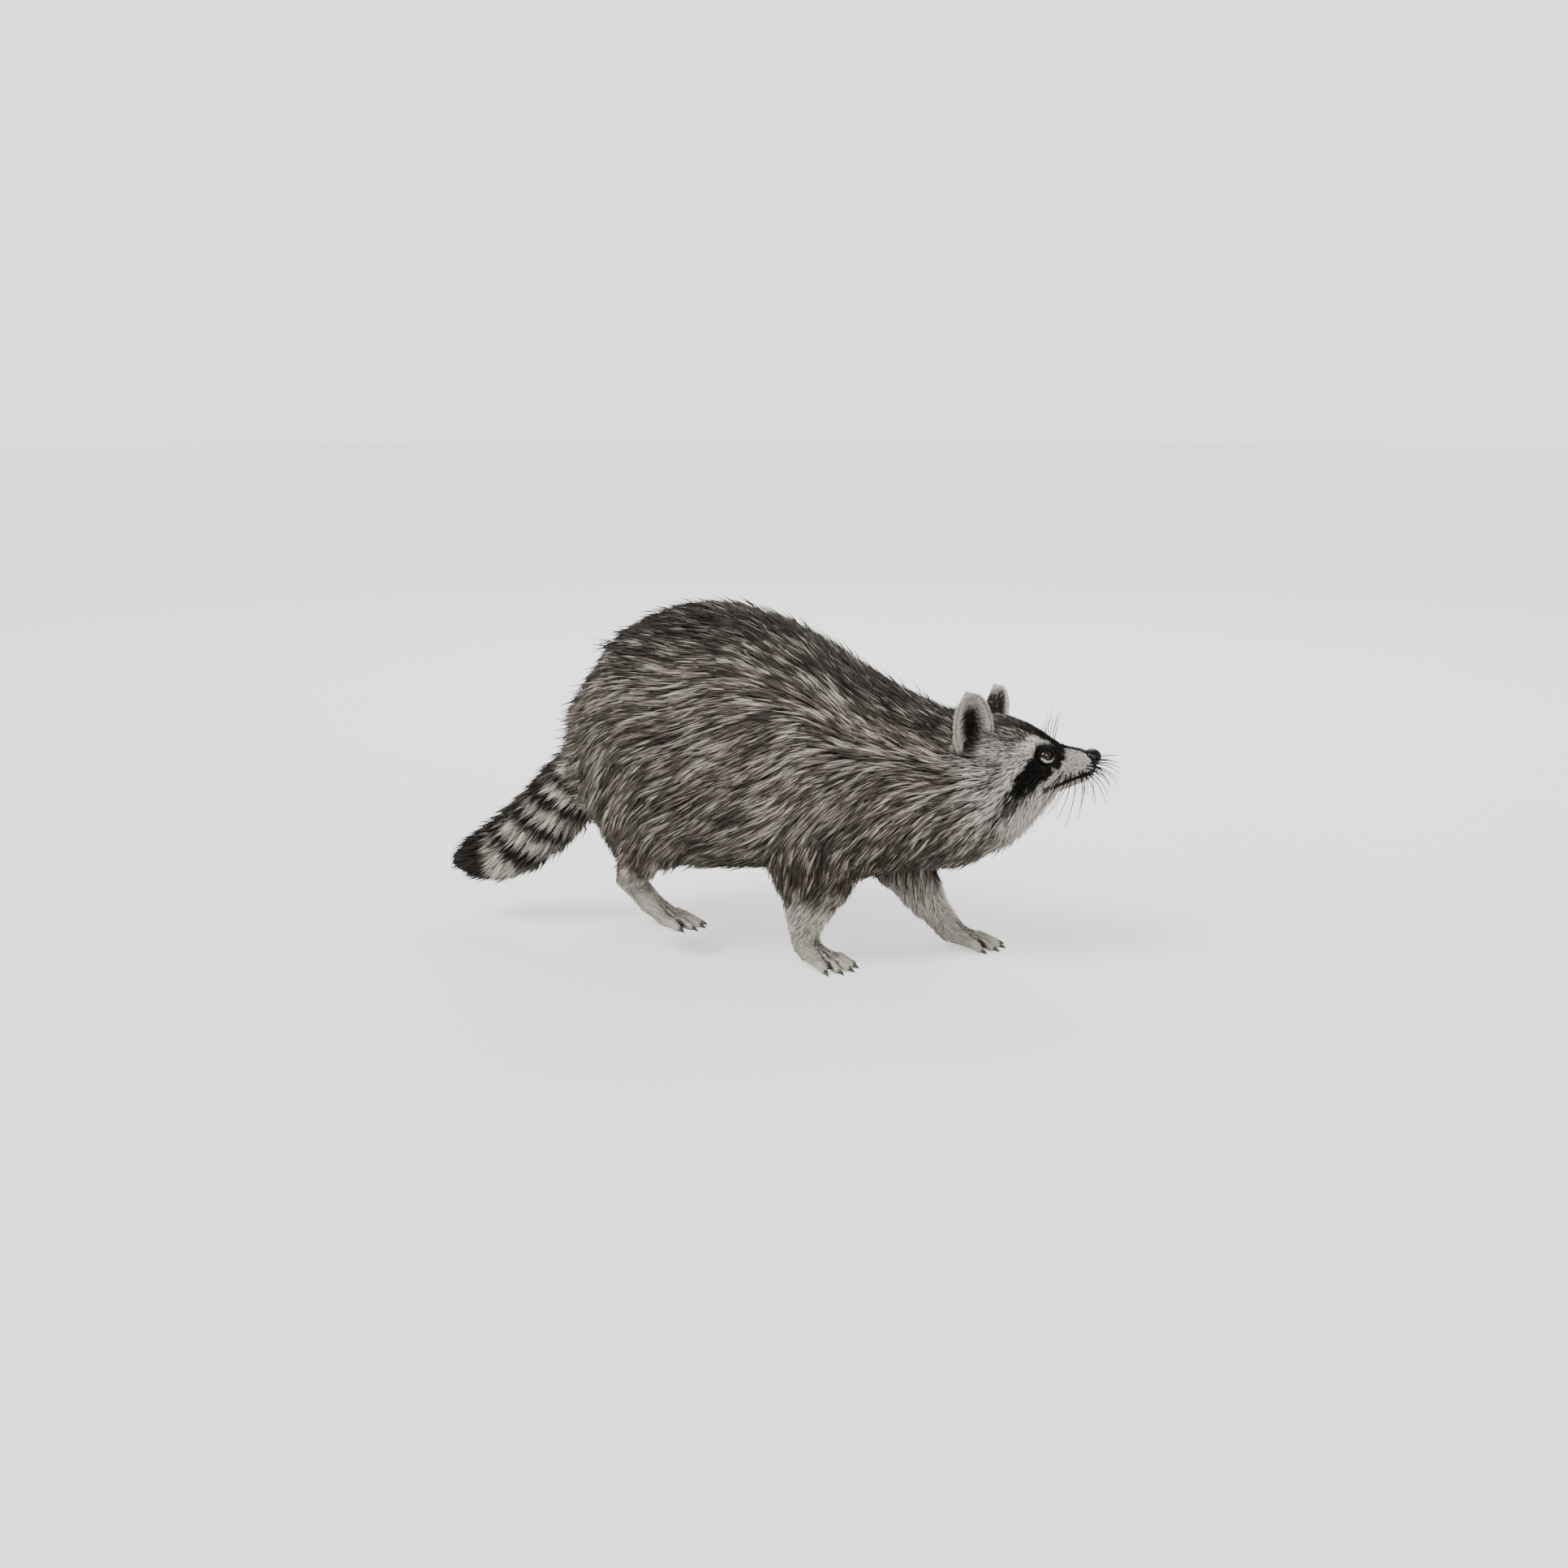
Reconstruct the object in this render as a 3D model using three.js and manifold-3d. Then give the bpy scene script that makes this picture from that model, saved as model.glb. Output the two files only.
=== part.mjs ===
// A life-size raccoon, walking, as a still museum model. Millimetres, +Z up, nose towards +X, its left side
// towards +Y, feet on Z = 0, and the origin under the middle of its bounding box.
//
// The body is one closed outline: the tips of the coat. Flesh and coat are worked out from it by taking
// off a share of the coat's depth. The whole animal is joined first and then parted with thin cuts, so that
// neighbouring nodes meet face to face.
import * as THREE from "three";
import { mergeVertices } from "three/addons/utils/BufferGeometryUtils.js";
import Module from "manifold-3d";

const wasm = await Module();
wasm.setup();

// ---------------------------------------------------------------- driving dimensions

const GAP = 0.3; // between nodes that touch
const CORE_SHARE = 0.5; // how far under the tips of a long coat the core lies, as a share of its depth
const SLIVER = 0.045; // edges and steps under this are joining's leftovers
const SECTION_POWER = 2.2; // superellipse power of a section across the body

// Sections across trunk, neck and head, from the rump to the lips: highest, widest and lowest level, half the
// width, and the coat's depth over the back and on the sides.
const BODY = [
  { x: -207, top: 208, widest: 190, low: 174, half: 16, coatTop: 14, coatSide: 14 }, // rump
  { x: -200, top: 234, widest: 190, low: 146, half: 44, coatTop: 20, coatSide: 20 },
  { x: -184, top: 267, widest: 189, low: 116, half: 70, coatTop: 24, coatSide: 23 },
  { x: -159, top: 301, widest: 186, low: 94, half: 88, coatTop: 27, coatSide: 25 },
  { x: -118, top: 323, widest: 180, low: 79, half: 98, coatTop: 28, coatSide: 26 }, // hips
  { x: -72, top: 332, widest: 176, low: 77, half: 101, coatTop: 28, coatSide: 26 }, // top of the arched back
  { x: -22, top: 325, widest: 174, low: 79, half: 99, coatTop: 27, coatSide: 25 },
  { x: 30, top: 305, widest: 172, low: 77, half: 91, coatTop: 26, coatSide: 24 },
  { x: 72, top: 280, widest: 168, low: 75, half: 83, coatTop: 24, coatSide: 22 }, // shoulders
  { x: 112, top: 259, widest: 165, low: 82, half: 75, coatTop: 21, coatSide: 21 },
  { x: 146, top: 245, widest: 162, low: 89, half: 70, coatTop: 17, coatSide: 21 }, // neck
  { x: 172, top: 236.5, widest: 160, low: 92, half: 69, coatTop: 10, coatSide: 20 }, // nape
  { x: 195, top: 237.5, widest: 160, low: 102, half: 70, coatTop: 6, coatSide: 18 }, // crown and cheek ruffs
  { x: 212, top: 236, widest: 163, low: 115, half: 66, coatTop: 5, coatSide: 14 },
  { x: 228, top: 231, widest: 170, low: 129, half: 55, coatTop: 4, coatSide: 10 }, // forehead
  { x: 242, top: 224.5, widest: 179, low: 146, half: 41, coatTop: 3.5, coatSide: 7 }, // brow
  { x: 254, top: 217, widest: 186, low: 161, half: 30.5, coatTop: 3, coatSide: 4 }, // eyes
  { x: 264, top: 212, widest: 190, low: 169, half: 25, coatTop: 2.5, coatSide: 2.5 },
  { x: 275, top: 210, widest: 192, low: 174.5, half: 21, coatTop: 2, coatSide: 2 }, // muzzle
  { x: 285, top: 209, widest: 194, low: 179, half: 16.5, coatTop: 1.5, coatSide: 1.5 },
  { x: 292, top: 206, widest: 195, low: 183.5, half: 12, coatTop: 1, coatSide: 1 },
  { x: 295.5, top: 200, widest: 194, low: 188, half: 6, coatTop: 1, coatSide: 1 }, // lips
];
const TRUNK_STEP = 21; // between the solid's sections behind the nape; the head has one at each row
const NAPE_X = 160;
const BODY_SIDES = 24;

// Limbs and tail run through these stations, from inside the body outwards: where, the radius fore and aft,
// the radius sideways, and the coat's depth.
const station = (x, y, z, fore, side, coat) => ({ at: new THREE.Vector3(x, y, z), fore, side, coat });
const FORELEG_RIGHT = [
  station(28, -36, 214, 44, 34, 23),
  station(33, -47, 172, 50, 38, 23),
  station(41, -53, 132, 50, 34, 21),
  station(45, -54, 98, 46, 29, 18),
  station(43, -53, 76, 37, 24, 14),
  station(39, -52, 58, 27, 19, 9),
  station(36, -51, 43, 18.5, 15, 6),
  station(34, -50, 31, 14, 13, 4),
  station(34, -50, 21, 12.5, 12, 3),
];
const FORELEG_LEFT = [
  station(52, 36, 212, 44, 34, 23),
  station(66, 47, 170, 50, 37, 23),
  station(84, 52, 130, 48, 33, 21),
  station(98, 52, 98, 43, 28, 18),
  station(110, 52, 75, 33, 23, 14),
  station(122, 51, 53, 23, 18, 9),
  station(134, 50, 37, 17, 14.5, 6),
  station(145, 50, 25, 13.5, 13, 4),
  station(150, 50, 17, 12, 12, 3),
];
const HINDLEG_RIGHT = [
  station(-118, -42, 224, 50, 40, 24),
  station(-117, -57, 186, 59, 47, 24),
  station(-118, -63, 150, 53, 39, 22),
  station(-119, -64, 122, 42, 31, 18),
  station(-121, -60, 102, 31, 23, 13),
  station(-128, -56, 86, 20, 17, 7),
  station(-135, -54, 76, 14, 13, 4),
  station(-137, -53, 70, 12, 12, 3),
];
const HINDLEG_LEFT = [
  station(-118, 42, 224, 50, 40, 24),
  station(-125, 57, 186, 59, 47, 24),
  station(-139, 63, 148, 53, 39, 22),
  station(-153, 64, 114, 42, 31, 18),
  station(-161, 60, 88, 31, 23, 13),
  station(-169, 56, 66, 20, 17, 7),
  station(-175, 54, 52, 14, 13, 4),
  station(-177, 53, 44, 12, 12, 3),
];
const TAIL = [
  station(-158, 0, 196, 26, 26, 14),
  station(-190, 0, 170, 33, 31, 20),
  station(-219, 1, 139, 35, 33, 22),
  station(-249, 3, 107, 36, 34, 23),
  station(-278, 5, 83, 34, 32, 22),
  station(-303, 6, 71, 29, 28, 19),
  station(-322, 7, 65, 21, 21, 14),
  station(-334, 7, 61.5, 12, 12, 8),
  station(-340, 7, 60, 5, 5, 3),
];
const LOCKS = {
  apart: 31, // at least, between two roots
  least: 12, // depth of the coats that have locks
  full: 26, // depth of the coat where a lock has its full size
  length: 62,
  bends: [0, 0.45, -0.45, 0.9], // up or down, tried in turn where a lock would cross into the next node
  shares: [1, 0.8, 0.65], // of its length, tried after those
  half: 17, // half the width
  slightest: 0.12, // one with less volume than this share of its length, width and rise is left out
  sunk: 4, // root under the core's surface
  deepest: 14, // a place further than this from the outline is inside another form
  gentlest: 0.6, // slope of `outside` under which a place lies in a crease
  strays: 1.5, // off the outline, at most, along a lock
  bow: 0.35, // of the outline's turn along a lock, as the cosine
  twist: 0.6, // of a lock about its own run, as the cosine
  steps: 8, // of its run
  under: 0.5, // its tip, under the outline
  rise: [-0.1, 0.42, 0.86], // of the ridge over the core at the rings, as a share of the way to the tips
  keel: [-0.35, -0.18, 0.34], // and of the underside
  taper: [0.82, 1, 0.66],
  at: [0, 0.36, 0.72], // the rings' places along the lock; its tip is at 1
};
const LIMB_SIDES = 12;
const TAIL_SIDES = 12;
const LEG_MARGIN = 7; // what lies this close round a limb's stations belongs to the limb
const TAIL_MARGIN = 1.5;

// Feet: heading 0 points forwards and a positive one turns towards the animal's left. The right hind foot is
// lifted for its next step. Sole stations run from heel to ball: ahead of the ball, up, half width, half
// thickness.
const FORE_SOLE = [
  { ahead: -22, up: 19, half: 12, thick: 12 },
  { ahead: -14, up: 11.5, half: 14, thick: 11.5 },
  { ahead: 0, up: 7.2, half: 17, thick: 8.5 },
  { ahead: 8, up: 5.2, half: 15.5, thick: 6 },
];
const HIND_SOLE = [
  { ahead: -43, up: 46, half: 11.5, thick: 11 },
  { ahead: -33, up: 36, half: 12.5, thick: 10.5 },
  { ahead: -17, up: 19, half: 14.5, thick: 9.5 },
  { ahead: 0, up: 7.4, half: 17.5, thick: 8.7 },
  { ahead: 9, up: 5.2, half: 16, thick: 6 },
];
const FEET = [
  { name: "forefoot_right", ball: [56, -56], heading: -18, lift: 0, sole: FORE_SOLE, toe: 19, fan: 15 },
  { name: "forefoot_left", ball: [172, 50], heading: 2, lift: 0, sole: FORE_SOLE, toe: 21, fan: 15 },
  { name: "hindfoot_right", ball: [-98, -50], heading: -4, lift: 27, sole: HIND_SOLE, toe: 23, fan: 10 },
  { name: "hindfoot_left", ball: [-137, 50], heading: 4, lift: 0, sole: HIND_SOLE, toe: 23, fan: 10 },
];
const TOES = [-2, -1, 0, 1, 2]; // from the animal's right to its left
const TOE = { radius: 4.8, tip: 4, apart: 6.6, ahead: 5, back: 1.3, shorter: 0.07 };
const TOE_HEIGHTS = { root: 6.6, knuckle: 6.8, end: 3.2 };
const TOE_SLOPE = -0.35; // of a toe's end and of its claw
const CLAW = { length: 8.5, radius: 2.2, drop: 2.8 };

// Head
const EYE = { at: [250, 19.6, 203.8], radius: 8.3 }; // the left one
const LID = { ring: 7.4, thick: 1.7, out: 5.5, wide: 1.1, high: 0.9, slant: 0.2 };
const NOSE = { at: [290.5, 0, 202.5], radii: [8.5, 9.2, 8.2] };
const NOSTRIL = { at: [298, 4.4, 203], radii: [4.2, 2, 2.4] };
const NOSTRIL_SLIT = { at: [296, 7.8, 201.8], radii: [3.6, 3.2, 1.1] };
const EAR = { height: 49, sunk: 12, half: 21.5, cup: 13, wall: 3, turn: 46 };
const EARS = [
  { side: -1, base: [191.5, -43, 218], lean: 4, splay: 20 },
  { side: 1, base: [192, 42, 210], lean: 1, splay: 33 },
];
const MOUTH = [
  [302, 190.5],
  [291, 189.5],
  [279, 185.5],
  [266, 179.5],
  [256, 174.5],
];
const MOUTH_OPEN = 0.9; // the line of the lips
const LIP = { radius: 2.1, above: 2.4, below: 2.2, sunk: 0.9, front: 294.5 };
const WHISKER_PAD = { at: [281, 9.8, 193.3], radii: [13, 8, 8.5] };

// ---------------------------------------------------------------- reading the sections

const COLUMNS = ["top", "widest", "low", "half", "coatTop", "coatSide"];
const spline = (a, b, c, d, t) =>
  b + 0.5 * t * (c - a + t * (2 * a - 5 * b + 4 * c - d + t * (3 * (b - c) + d - a)));

// The body's section at x, between the rows of BODY.
function sectionAt(x) {
  const last = BODY.length - 1;
  const inside = THREE.MathUtils.clamp(x, BODY[0].x, BODY[last].x);
  const i = Math.min(last - 1, Math.max(0, BODY.findIndex((row) => row.x >= inside) - 1));
  const rows = [i - 1, i, i + 1, i + 2].map((k) => BODY[THREE.MathUtils.clamp(k, 0, last)]);
  const t = (inside - BODY[i].x) / (BODY[i + 1].x - BODY[i].x);
  const section = { x: inside };
  for (const key of COLUMNS) section[key] = spline(...rows.map((row) => row[key]), t);
  return section;
}

// The coat is as deep as coatTop on the back and coatSide from the flanks down.
const coatAround = (section, up) =>
  THREE.MathUtils.lerp(section.coatSide, section.coatTop, THREE.MathUtils.smoothstep(up, 0.2, 0.9));

// A long coat has a core, and short fur has none: there the solid reaches the outline.
const coreInset = (coat) => coat * CORE_SHARE * THREE.MathUtils.smoothstep(coat, 7, 14);

// A point of the body's surface: angle 0 is the back and 90 degrees the left flank.
function bodyPoint(x, angle, grow = 0) {
  const section = sectionAt(x);
  const [sin, cos] = [Math.sin(angle), Math.cos(angle)];
  const bend = (v) => Math.sign(v) * Math.abs(v) ** (2 / SECTION_POWER);
  const inset = coreInset(coatAround(section, cos)) - grow;
  const reach = cos > 0 ? section.top - section.widest : section.widest - section.low;
  const rump = 1 - THREE.MathUtils.smoothstep(x, BODY[0].x, BODY[0].x + 60);
  return new THREE.Vector3(
    section.x + Math.max(inset, 0) * rump,
    Math.max(1, section.half - inset) * bend(sin),
    section.widest + Math.max(1, reach - inset) * bend(cos),
  );
}

// How far p is outside the tips of the body's coat, below 0 inside.
function outsideBody(p) {
  const section = sectionAt(p.x);
  const up = p.z - section.widest;
  const reach = up > 0 ? section.top - section.widest : section.widest - section.low;
  const ratio =
    ((Math.abs(p.y) / section.half) ** SECTION_POWER + (Math.abs(up) / reach) ** SECTION_POWER) **
    (1 / SECTION_POWER);
  const inside = (ratio - 1) * Math.min(section.half, reach);
  return Math.hypot(Math.max(inside, 0), p.x - section.x) + Math.min(inside, 0);
}

// The nearest place on a chain of stations: how far outside its tips p is, and the chain's values there.
function nearestOn(chain, p) {
  let best = { outside: Infinity };
  for (let i = 0; i + 1 < chain.length; i++) {
    const [a, b] = [chain[i], chain[i + 1]];
    const along = b.at.clone().sub(a.at);
    const free = p.clone().sub(a.at).dot(along) / along.lengthSq();
    const t = THREE.MathUtils.clamp(free, 0, 1);
    const away = p.clone().sub(a.at.clone().addScaledVector(along, t));
    const mix = (key) => THREE.MathUtils.lerp(a[key], b[key], t);
    along.normalize();
    const side = new THREE.Vector3(0, 1, 0).addScaledVector(along, -along.y).normalize();
    const sideways = away.dot(side) / mix("side");
    const forward = away.dot(side.clone().cross(along)) / mix("fore");
    const past = away.dot(along) / mix("side");
    const ratio = Math.hypot(sideways, forward, past);
    const outside = (ratio - 1) * (away.length() / Math.max(ratio, 1e-6));
    const inner = ratio < 1e-3 ? -mix("side") : outside;
    if (inner < best.outside) best = { outside: inner, along, coat: mix("coat") };
  }
  return best;
}

const LEGS = {
  foreleg_right: FORELEG_RIGHT,
  foreleg_left: FORELEG_LEFT,
  hindleg_right: HINDLEG_RIGHT,
  hindleg_left: HINDLEG_LEFT,
};

// What the coat's tips are nearest to p: how far outside them it is, the coat's depth there and its lie.
function nearest(p) {
  const section = sectionAt(p.x);
  const neck = THREE.MathUtils.smoothstep(p.x, 60, 150);
  const low = THREE.MathUtils.smoothstep(section.top - p.z, 20, 130);
  let best = {
    outside: outsideBody(p),
    coat: coatAround(section, (p.z - section.widest) / (section.top - section.widest)),
    lie: new THREE.Vector3(-1, 0, -(0.5 + 0.7 * neck) * low),
  };
  for (const chain of [TAIL, ...Object.values(LEGS)]) {
    const near = nearestOn(chain, p);
    const back = chain === TAIL ? 0 : -0.45;
    if (near.outside < best.outside)
      best = { outside: near.outside, coat: near.coat, lie: near.along.clone().setX(near.along.x + back) };
  }
  return best;
}

const outside = (p) => nearest(p).outside;

// The slope of `outside`, which points away from the animal.
function outward(p) {
  const step = 1.5;
  const slope = ["x", "y", "z"].map((axis) => {
    const [before, after] = [p.clone(), p.clone()];
    before[axis] -= step;
    after[axis] += step;
    return (outside(after) - outside(before)) / (2 * step);
  });
  return new THREE.Vector3(...slope);
}

// Moves p square to the surface until it is `level` outside the coat's tips.
function settle(p, level) {
  for (let i = 0; i < 4; i++) {
    const slope = outward(p);
    p.addScaledVector(slope, (level - outside(p)) / Math.max(slope.lengthSq(), 0.2));
  }
  return p;
}

// ---------------------------------------------------------------- closed meshes

function solidOf(geometry) {
  const bare = new THREE.BufferGeometry().setAttribute("position", geometry.getAttribute("position"));
  if (geometry.index) bare.setIndex(geometry.index);
  const merged = mergeVertices(bare, 1e-3);
  const mesh = new wasm.Mesh({
    numProp: 3,
    vertProperties: new Float32Array(merged.attributes.position.array),
    triVerts: new Uint32Array(merged.index.array),
  });
  const solid = new wasm.Manifold(mesh);
  if (solid.volume() > 0) return solid;
  for (let i = 0; i < mesh.triVerts.length; i += 3)
    [mesh.triVerts[i + 1], mesh.triVerts[i + 2]] = [mesh.triVerts[i + 2], mesh.triVerts[i + 1]];
  return new wasm.Manifold(mesh);
}

// Joins rings of points into a tube. Each end closes on its ring's middle, or on the tip that is given.
function tube(rings, tip = null) {
  const sides = rings[0].length;
  const points = rings.flat();
  const middle = (ring) => ring.reduce((sum, p) => sum.add(p), new THREE.Vector3()).divideScalar(sides);
  const [start, end] = [points.length, points.length + 1];
  points.push(middle(rings[0]), tip ?? middle(rings[rings.length - 1]));
  const faces = [];
  for (let r = 0; r + 1 < rings.length; r++)
    for (let s = 0; s < sides; s++) {
      const [a, b] = [r * sides + s, r * sides + ((s + 1) % sides)];
      faces.push(a, b, b + sides, a, b + sides, a + sides);
    }
  const lastRing = (rings.length - 1) * sides;
  for (let s = 0; s < sides; s++) {
    faces.push(start, (s + 1) % sides, s);
    faces.push(end, lastRing + s, lastRing + ((s + 1) % sides));
  }
  const geometry = new THREE.BufferGeometry().setFromPoints(points);
  return solidOf(geometry.setIndex(faces));
}

const place = (geometry, at) => solidOf(geometry.translate(...at));

function ellipsoid(at, [rx, ry, rz], wide = 14, high = 9) {
  return place(new THREE.SphereGeometry(1, wide, high).scale(rx, ry, rz), at);
}

const box = (low, high) =>
  place(
    new THREE.BoxGeometry(...high.map((v, i) => v - low[i])),
    high.map((v, i) => (v + low[i]) / 2),
  );

const FAR = 200; // past the animal's flanks, and past the far side of any node from its root
const UP = new THREE.Vector3(0, 0, 1);

// A thin slab in a root's plane.
function slab({ at, toward }) {
  const turn = new THREE.Quaternion().setFromUnitVectors(UP, new THREE.Vector3(...toward).normalize());
  return place(new THREE.BoxGeometry(FAR * 2, FAR * 2, GAP).applyQuaternion(turn), at);
}

// All that lies on the side that `normal` points to, as a block that starts half a gap past the plane.
function beyond(at, normal) {
  const toward = new THREE.Vector3(...normal).normalize();
  const turn = new THREE.Quaternion().setFromUnitVectors(UP, toward);
  const middle = new THREE.Vector3(...at).addScaledVector(toward, FAR + GAP / 2);
  return place(new THREE.BoxGeometry(FAR * 2, FAR * 2, FAR * 2).applyQuaternion(turn), middle.toArray());
}

// A prism across the body from an outline in the X-Z plane.
function across(outline, half) {
  const shape = new THREE.Shape(outline.map(([x, z]) => new THREE.Vector2(x, z)));
  const prism = new THREE.ExtrudeGeometry(shape, { depth: half * 2, bevelEnabled: false });
  return solidOf(prism.translate(0, 0, -half).rotateX(Math.PI / 2));
}

const join = (solids) => wasm.Manifold.union(solids);
const cut = (solid, tools) => solid.subtract(join(tools));
const biggest = (solid) =>
  solid.decompose().reduce((best, piece) => (piece.volume() > best.volume() ? piece : best));

// Keeps the largest closed surface, and takes out the slivers that joining leaves in it.
const largest = (solid) => biggest(biggest(solid).asOriginal().simplify(SLIVER));

function geometryOf(solid) {
  const { vertProperties, triVerts, numProp } = solid.getMesh();
  const points = new Float32Array((vertProperties.length / numProp) * 3);
  for (let i = 0; i < points.length / 3; i++)
    points.set(vertProperties.subarray(i * numProp, i * numProp + 3), i * 3);
  return new THREE.BufferGeometry()
    .setAttribute("position", new THREE.BufferAttribute(points, 3))
    .setIndex(new THREE.BufferAttribute(triVerts, 1));
}

// ---------------------------------------------------------------- trunk, limbs and tail

function bodySolid(grow = 0) {
  const first = BODY[0].x;
  const places = [first, first + 3, first + 8];
  for (let x = first + 17; x < NAPE_X - 8; x += TRUNK_STEP) places.push(x);
  places.push(NAPE_X, ...BODY.map((row) => row.x).filter((x) => x > NAPE_X));
  const rings = places.map((x) =>
    Array.from({ length: BODY_SIDES }, (_, s) => bodyPoint(x, (s / BODY_SIDES) * 2 * Math.PI, grow)),
  );
  return tube(rings);
}

// Rings of a chain, square to its run. `fore` is measured in the plane of the stride.
function chainRings(chain, sides, radiusOf) {
  const path = new THREE.CatmullRomCurve3(chain.map(({ at }) => at));
  const divisions = chain.length - 1;
  return chain.map((here, i) => {
    const along = path.getTangent(i / divisions);
    const side = new THREE.Vector3(0, 1, 0).addScaledVector(along, -along.y).normalize();
    const fore = side.clone().cross(along);
    const { f, s } = radiusOf(here);
    return Array.from({ length: sides }, (_, k) => {
      const angle = (k / sides) * 2 * Math.PI;
      return here.at
        .clone()
        .addScaledVector(fore, f * Math.cos(angle))
        .addScaledVector(side, s * Math.sin(angle));
    });
  });
}

const flesh = ({ fore, side, coat }) => ({ f: fore - coreInset(coat), s: side - coreInset(coat) });
const legSolid = (chain) => tube(chainRings(chain, LIMB_SIDES, flesh));
const tailSolid = () => tube(chainRings(TAIL, TAIL_SIDES, flesh));

// ---------------------------------------------------------------- feet and claws

// Turns a place on a foot, ahead of its ball, to its left and up, into the body's frame.
function onFoot(foot, ahead, left, up) {
  const turn = THREE.MathUtils.degToRad(foot.heading);
  return new THREE.Vector3(
    foot.ball[0] + ahead * Math.cos(turn) - left * Math.sin(turn),
    foot.ball[1] + ahead * Math.sin(turn) + left * Math.cos(turn),
    foot.lift + up,
  );
}

const ahead = (foot) => onFoot({ ...foot, ball: [0, 0], lift: 0 }, 1, 0, 0);

// Rings of a round bar along points of a foot, each with its own radius and slope.
function barRings(foot, points, sides) {
  const out = onFoot({ ...foot, ball: [0, 0], lift: 0 }, 0, 1, 0);
  return points.map(({ at, radius, slope = 0 }) => {
    const rise = new THREE.Vector3(0, 0, 1).addScaledVector(ahead(foot), -slope).normalize();
    return Array.from({ length: sides }, (_, k) => {
      const angle = (k / sides) * 2 * Math.PI;
      return at
        .clone()
        .addScaledVector(out, radius * Math.cos(angle))
        .addScaledVector(rise, radius * Math.sin(angle));
    });
  });
}

// Where a toe starts, how it runs and where it ends. The middle toe is the longest.
function toeRun(foot, toe) {
  const turned = { ...foot, heading: foot.heading + foot.fan * toe };
  const length = foot.toe * (1 - TOE.shorter * toe * toe);
  const root = onFoot(foot, TOE.ahead - TOE.back * toe * toe, TOE.apart * toe, TOE_HEIGHTS.root);
  const run = ahead(turned);
  const at = (share, up) => root.clone().addScaledVector(run, length * share).setZ(foot.lift + up);
  return { turned, run, root, knuckle: at(0.5, TOE_HEIGHTS.knuckle), end: at(1, TOE_HEIGHTS.end) };
}

function toeSolid(foot, toe) {
  const { turned, run, root, knuckle, end } = toeRun(foot, toe);
  const points = [
    { at: root.clone().addScaledVector(run, -TOE.radius), radius: TOE.radius },
    { at: root, radius: TOE.radius },
    { at: knuckle, radius: TOE.radius, slope: TOE_SLOPE / 2 },
    { at: end, radius: TOE.tip, slope: TOE_SLOPE },
  ];
  return tube(barRings(turned, points, 6));
}

function clawSolid(foot, toe) {
  const { turned, run, end } = toeRun(foot, toe);
  const at = (share) =>
    end
      .clone()
      .addScaledVector(run, GAP + share * CLAW.length)
      .setZ(end.z - CLAW.drop * share * share + GAP * TOE_SLOPE);
  const points = [0, 0.35, 0.7].map((share) => ({
    at: at(share),
    radius: CLAW.radius * (1 - 0.75 * share),
    slope: TOE_SLOPE,
  }));
  return tube(barRings(turned, points, 5), at(1));
}

function soleSolid(foot) {
  const rings = foot.sole.map(({ ahead: forward, up, half, thick }, i) => {
    const next = foot.sole[Math.min(i + 1, foot.sole.length - 1)];
    const before = foot.sole[Math.max(i - 1, 0)];
    const lean = Math.atan2(before.up - next.up, next.ahead - before.ahead);
    return Array.from({ length: LIMB_SIDES }, (_, k) => {
      const angle = (k / LIMB_SIDES) * 2 * Math.PI;
      const height = thick * Math.sin(angle);
      return onFoot(
        foot,
        forward + height * Math.sin(lean),
        half * Math.cos(angle),
        up + height * Math.cos(lean),
      );
    });
  });
  return tube(rings);
}

// ---------------------------------------------------------------- head

const mirrored = ([x, y, z], side) => [x, y * side, z];

// The lids: a ring that stands on the skin round the eye, longer than it is high, its front corner lower.
function lidSolid(side) {
  const at = new THREE.Vector3(...mirrored(EYE.at, side));
  const looks = outward(at).normalize();
  const turn = new THREE.Matrix4().lookAt(looks, new THREE.Vector3(), new THREE.Vector3(LID.slant, 0, 1));
  const ring = new THREE.TorusGeometry(LID.ring, LID.thick, 5, 12).scale(LID.wide, LID.high, 1);
  return place(ring.applyMatrix4(turn), at.addScaledVector(looks, LID.out).toArray());
}

// A lip: a thin round bar that follows the mouth on the muzzle's surface, `rise` above its line.
function lipSolid(side, rise) {
  const onMuzzle = MOUTH.slice(1).map(([x, z]) => {
    const level = z + rise;
    const section = sectionAt(x);
    const reach = level > section.widest ? section.top - section.widest : section.widest - section.low;
    const share = Math.min(0.98, Math.abs(level - section.widest) / reach);
    const half = section.half * (1 - share ** SECTION_POWER) ** (1 / SECTION_POWER);
    return new THREE.Vector3(x, side * (half - LIP.sunk), level);
  });
  const front = new THREE.Vector3(LIP.front, 0, MOUTH[1][1] + rise);
  const path = new THREE.CatmullRomCurve3([front, ...onMuzzle]);
  const [count, sides] = [7, 5];
  const rings = Array.from({ length: count }, (_, i) => {
    const t = i / (count - 1);
    const along = path.getTangent(t);
    const up = new THREE.Vector3(0, 0, 1).addScaledVector(along, -along.z).normalize();
    const out = up.clone().cross(along);
    const radius = LIP.radius * (1 - 0.45 * t);
    return Array.from({ length: sides }, (_, k) =>
      path
        .getPoint(t)
        .addScaledVector(up, radius * Math.sin((k / sides) * 2 * Math.PI))
        .addScaledVector(out, radius * Math.cos((k / sides) * 2 * Math.PI)),
    );
  });
  return tube(rings);
}

// An ear: a rounded leaf bent into a cup, as a back and an inner face that meet at the rim. u runs from the
// base to the top and v across.
const EAR_ROWS = [0, 0.22, 0.44, 0.64, 0.8, 0.91, 0.97];
const EAR_COLUMNS = 6;

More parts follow.
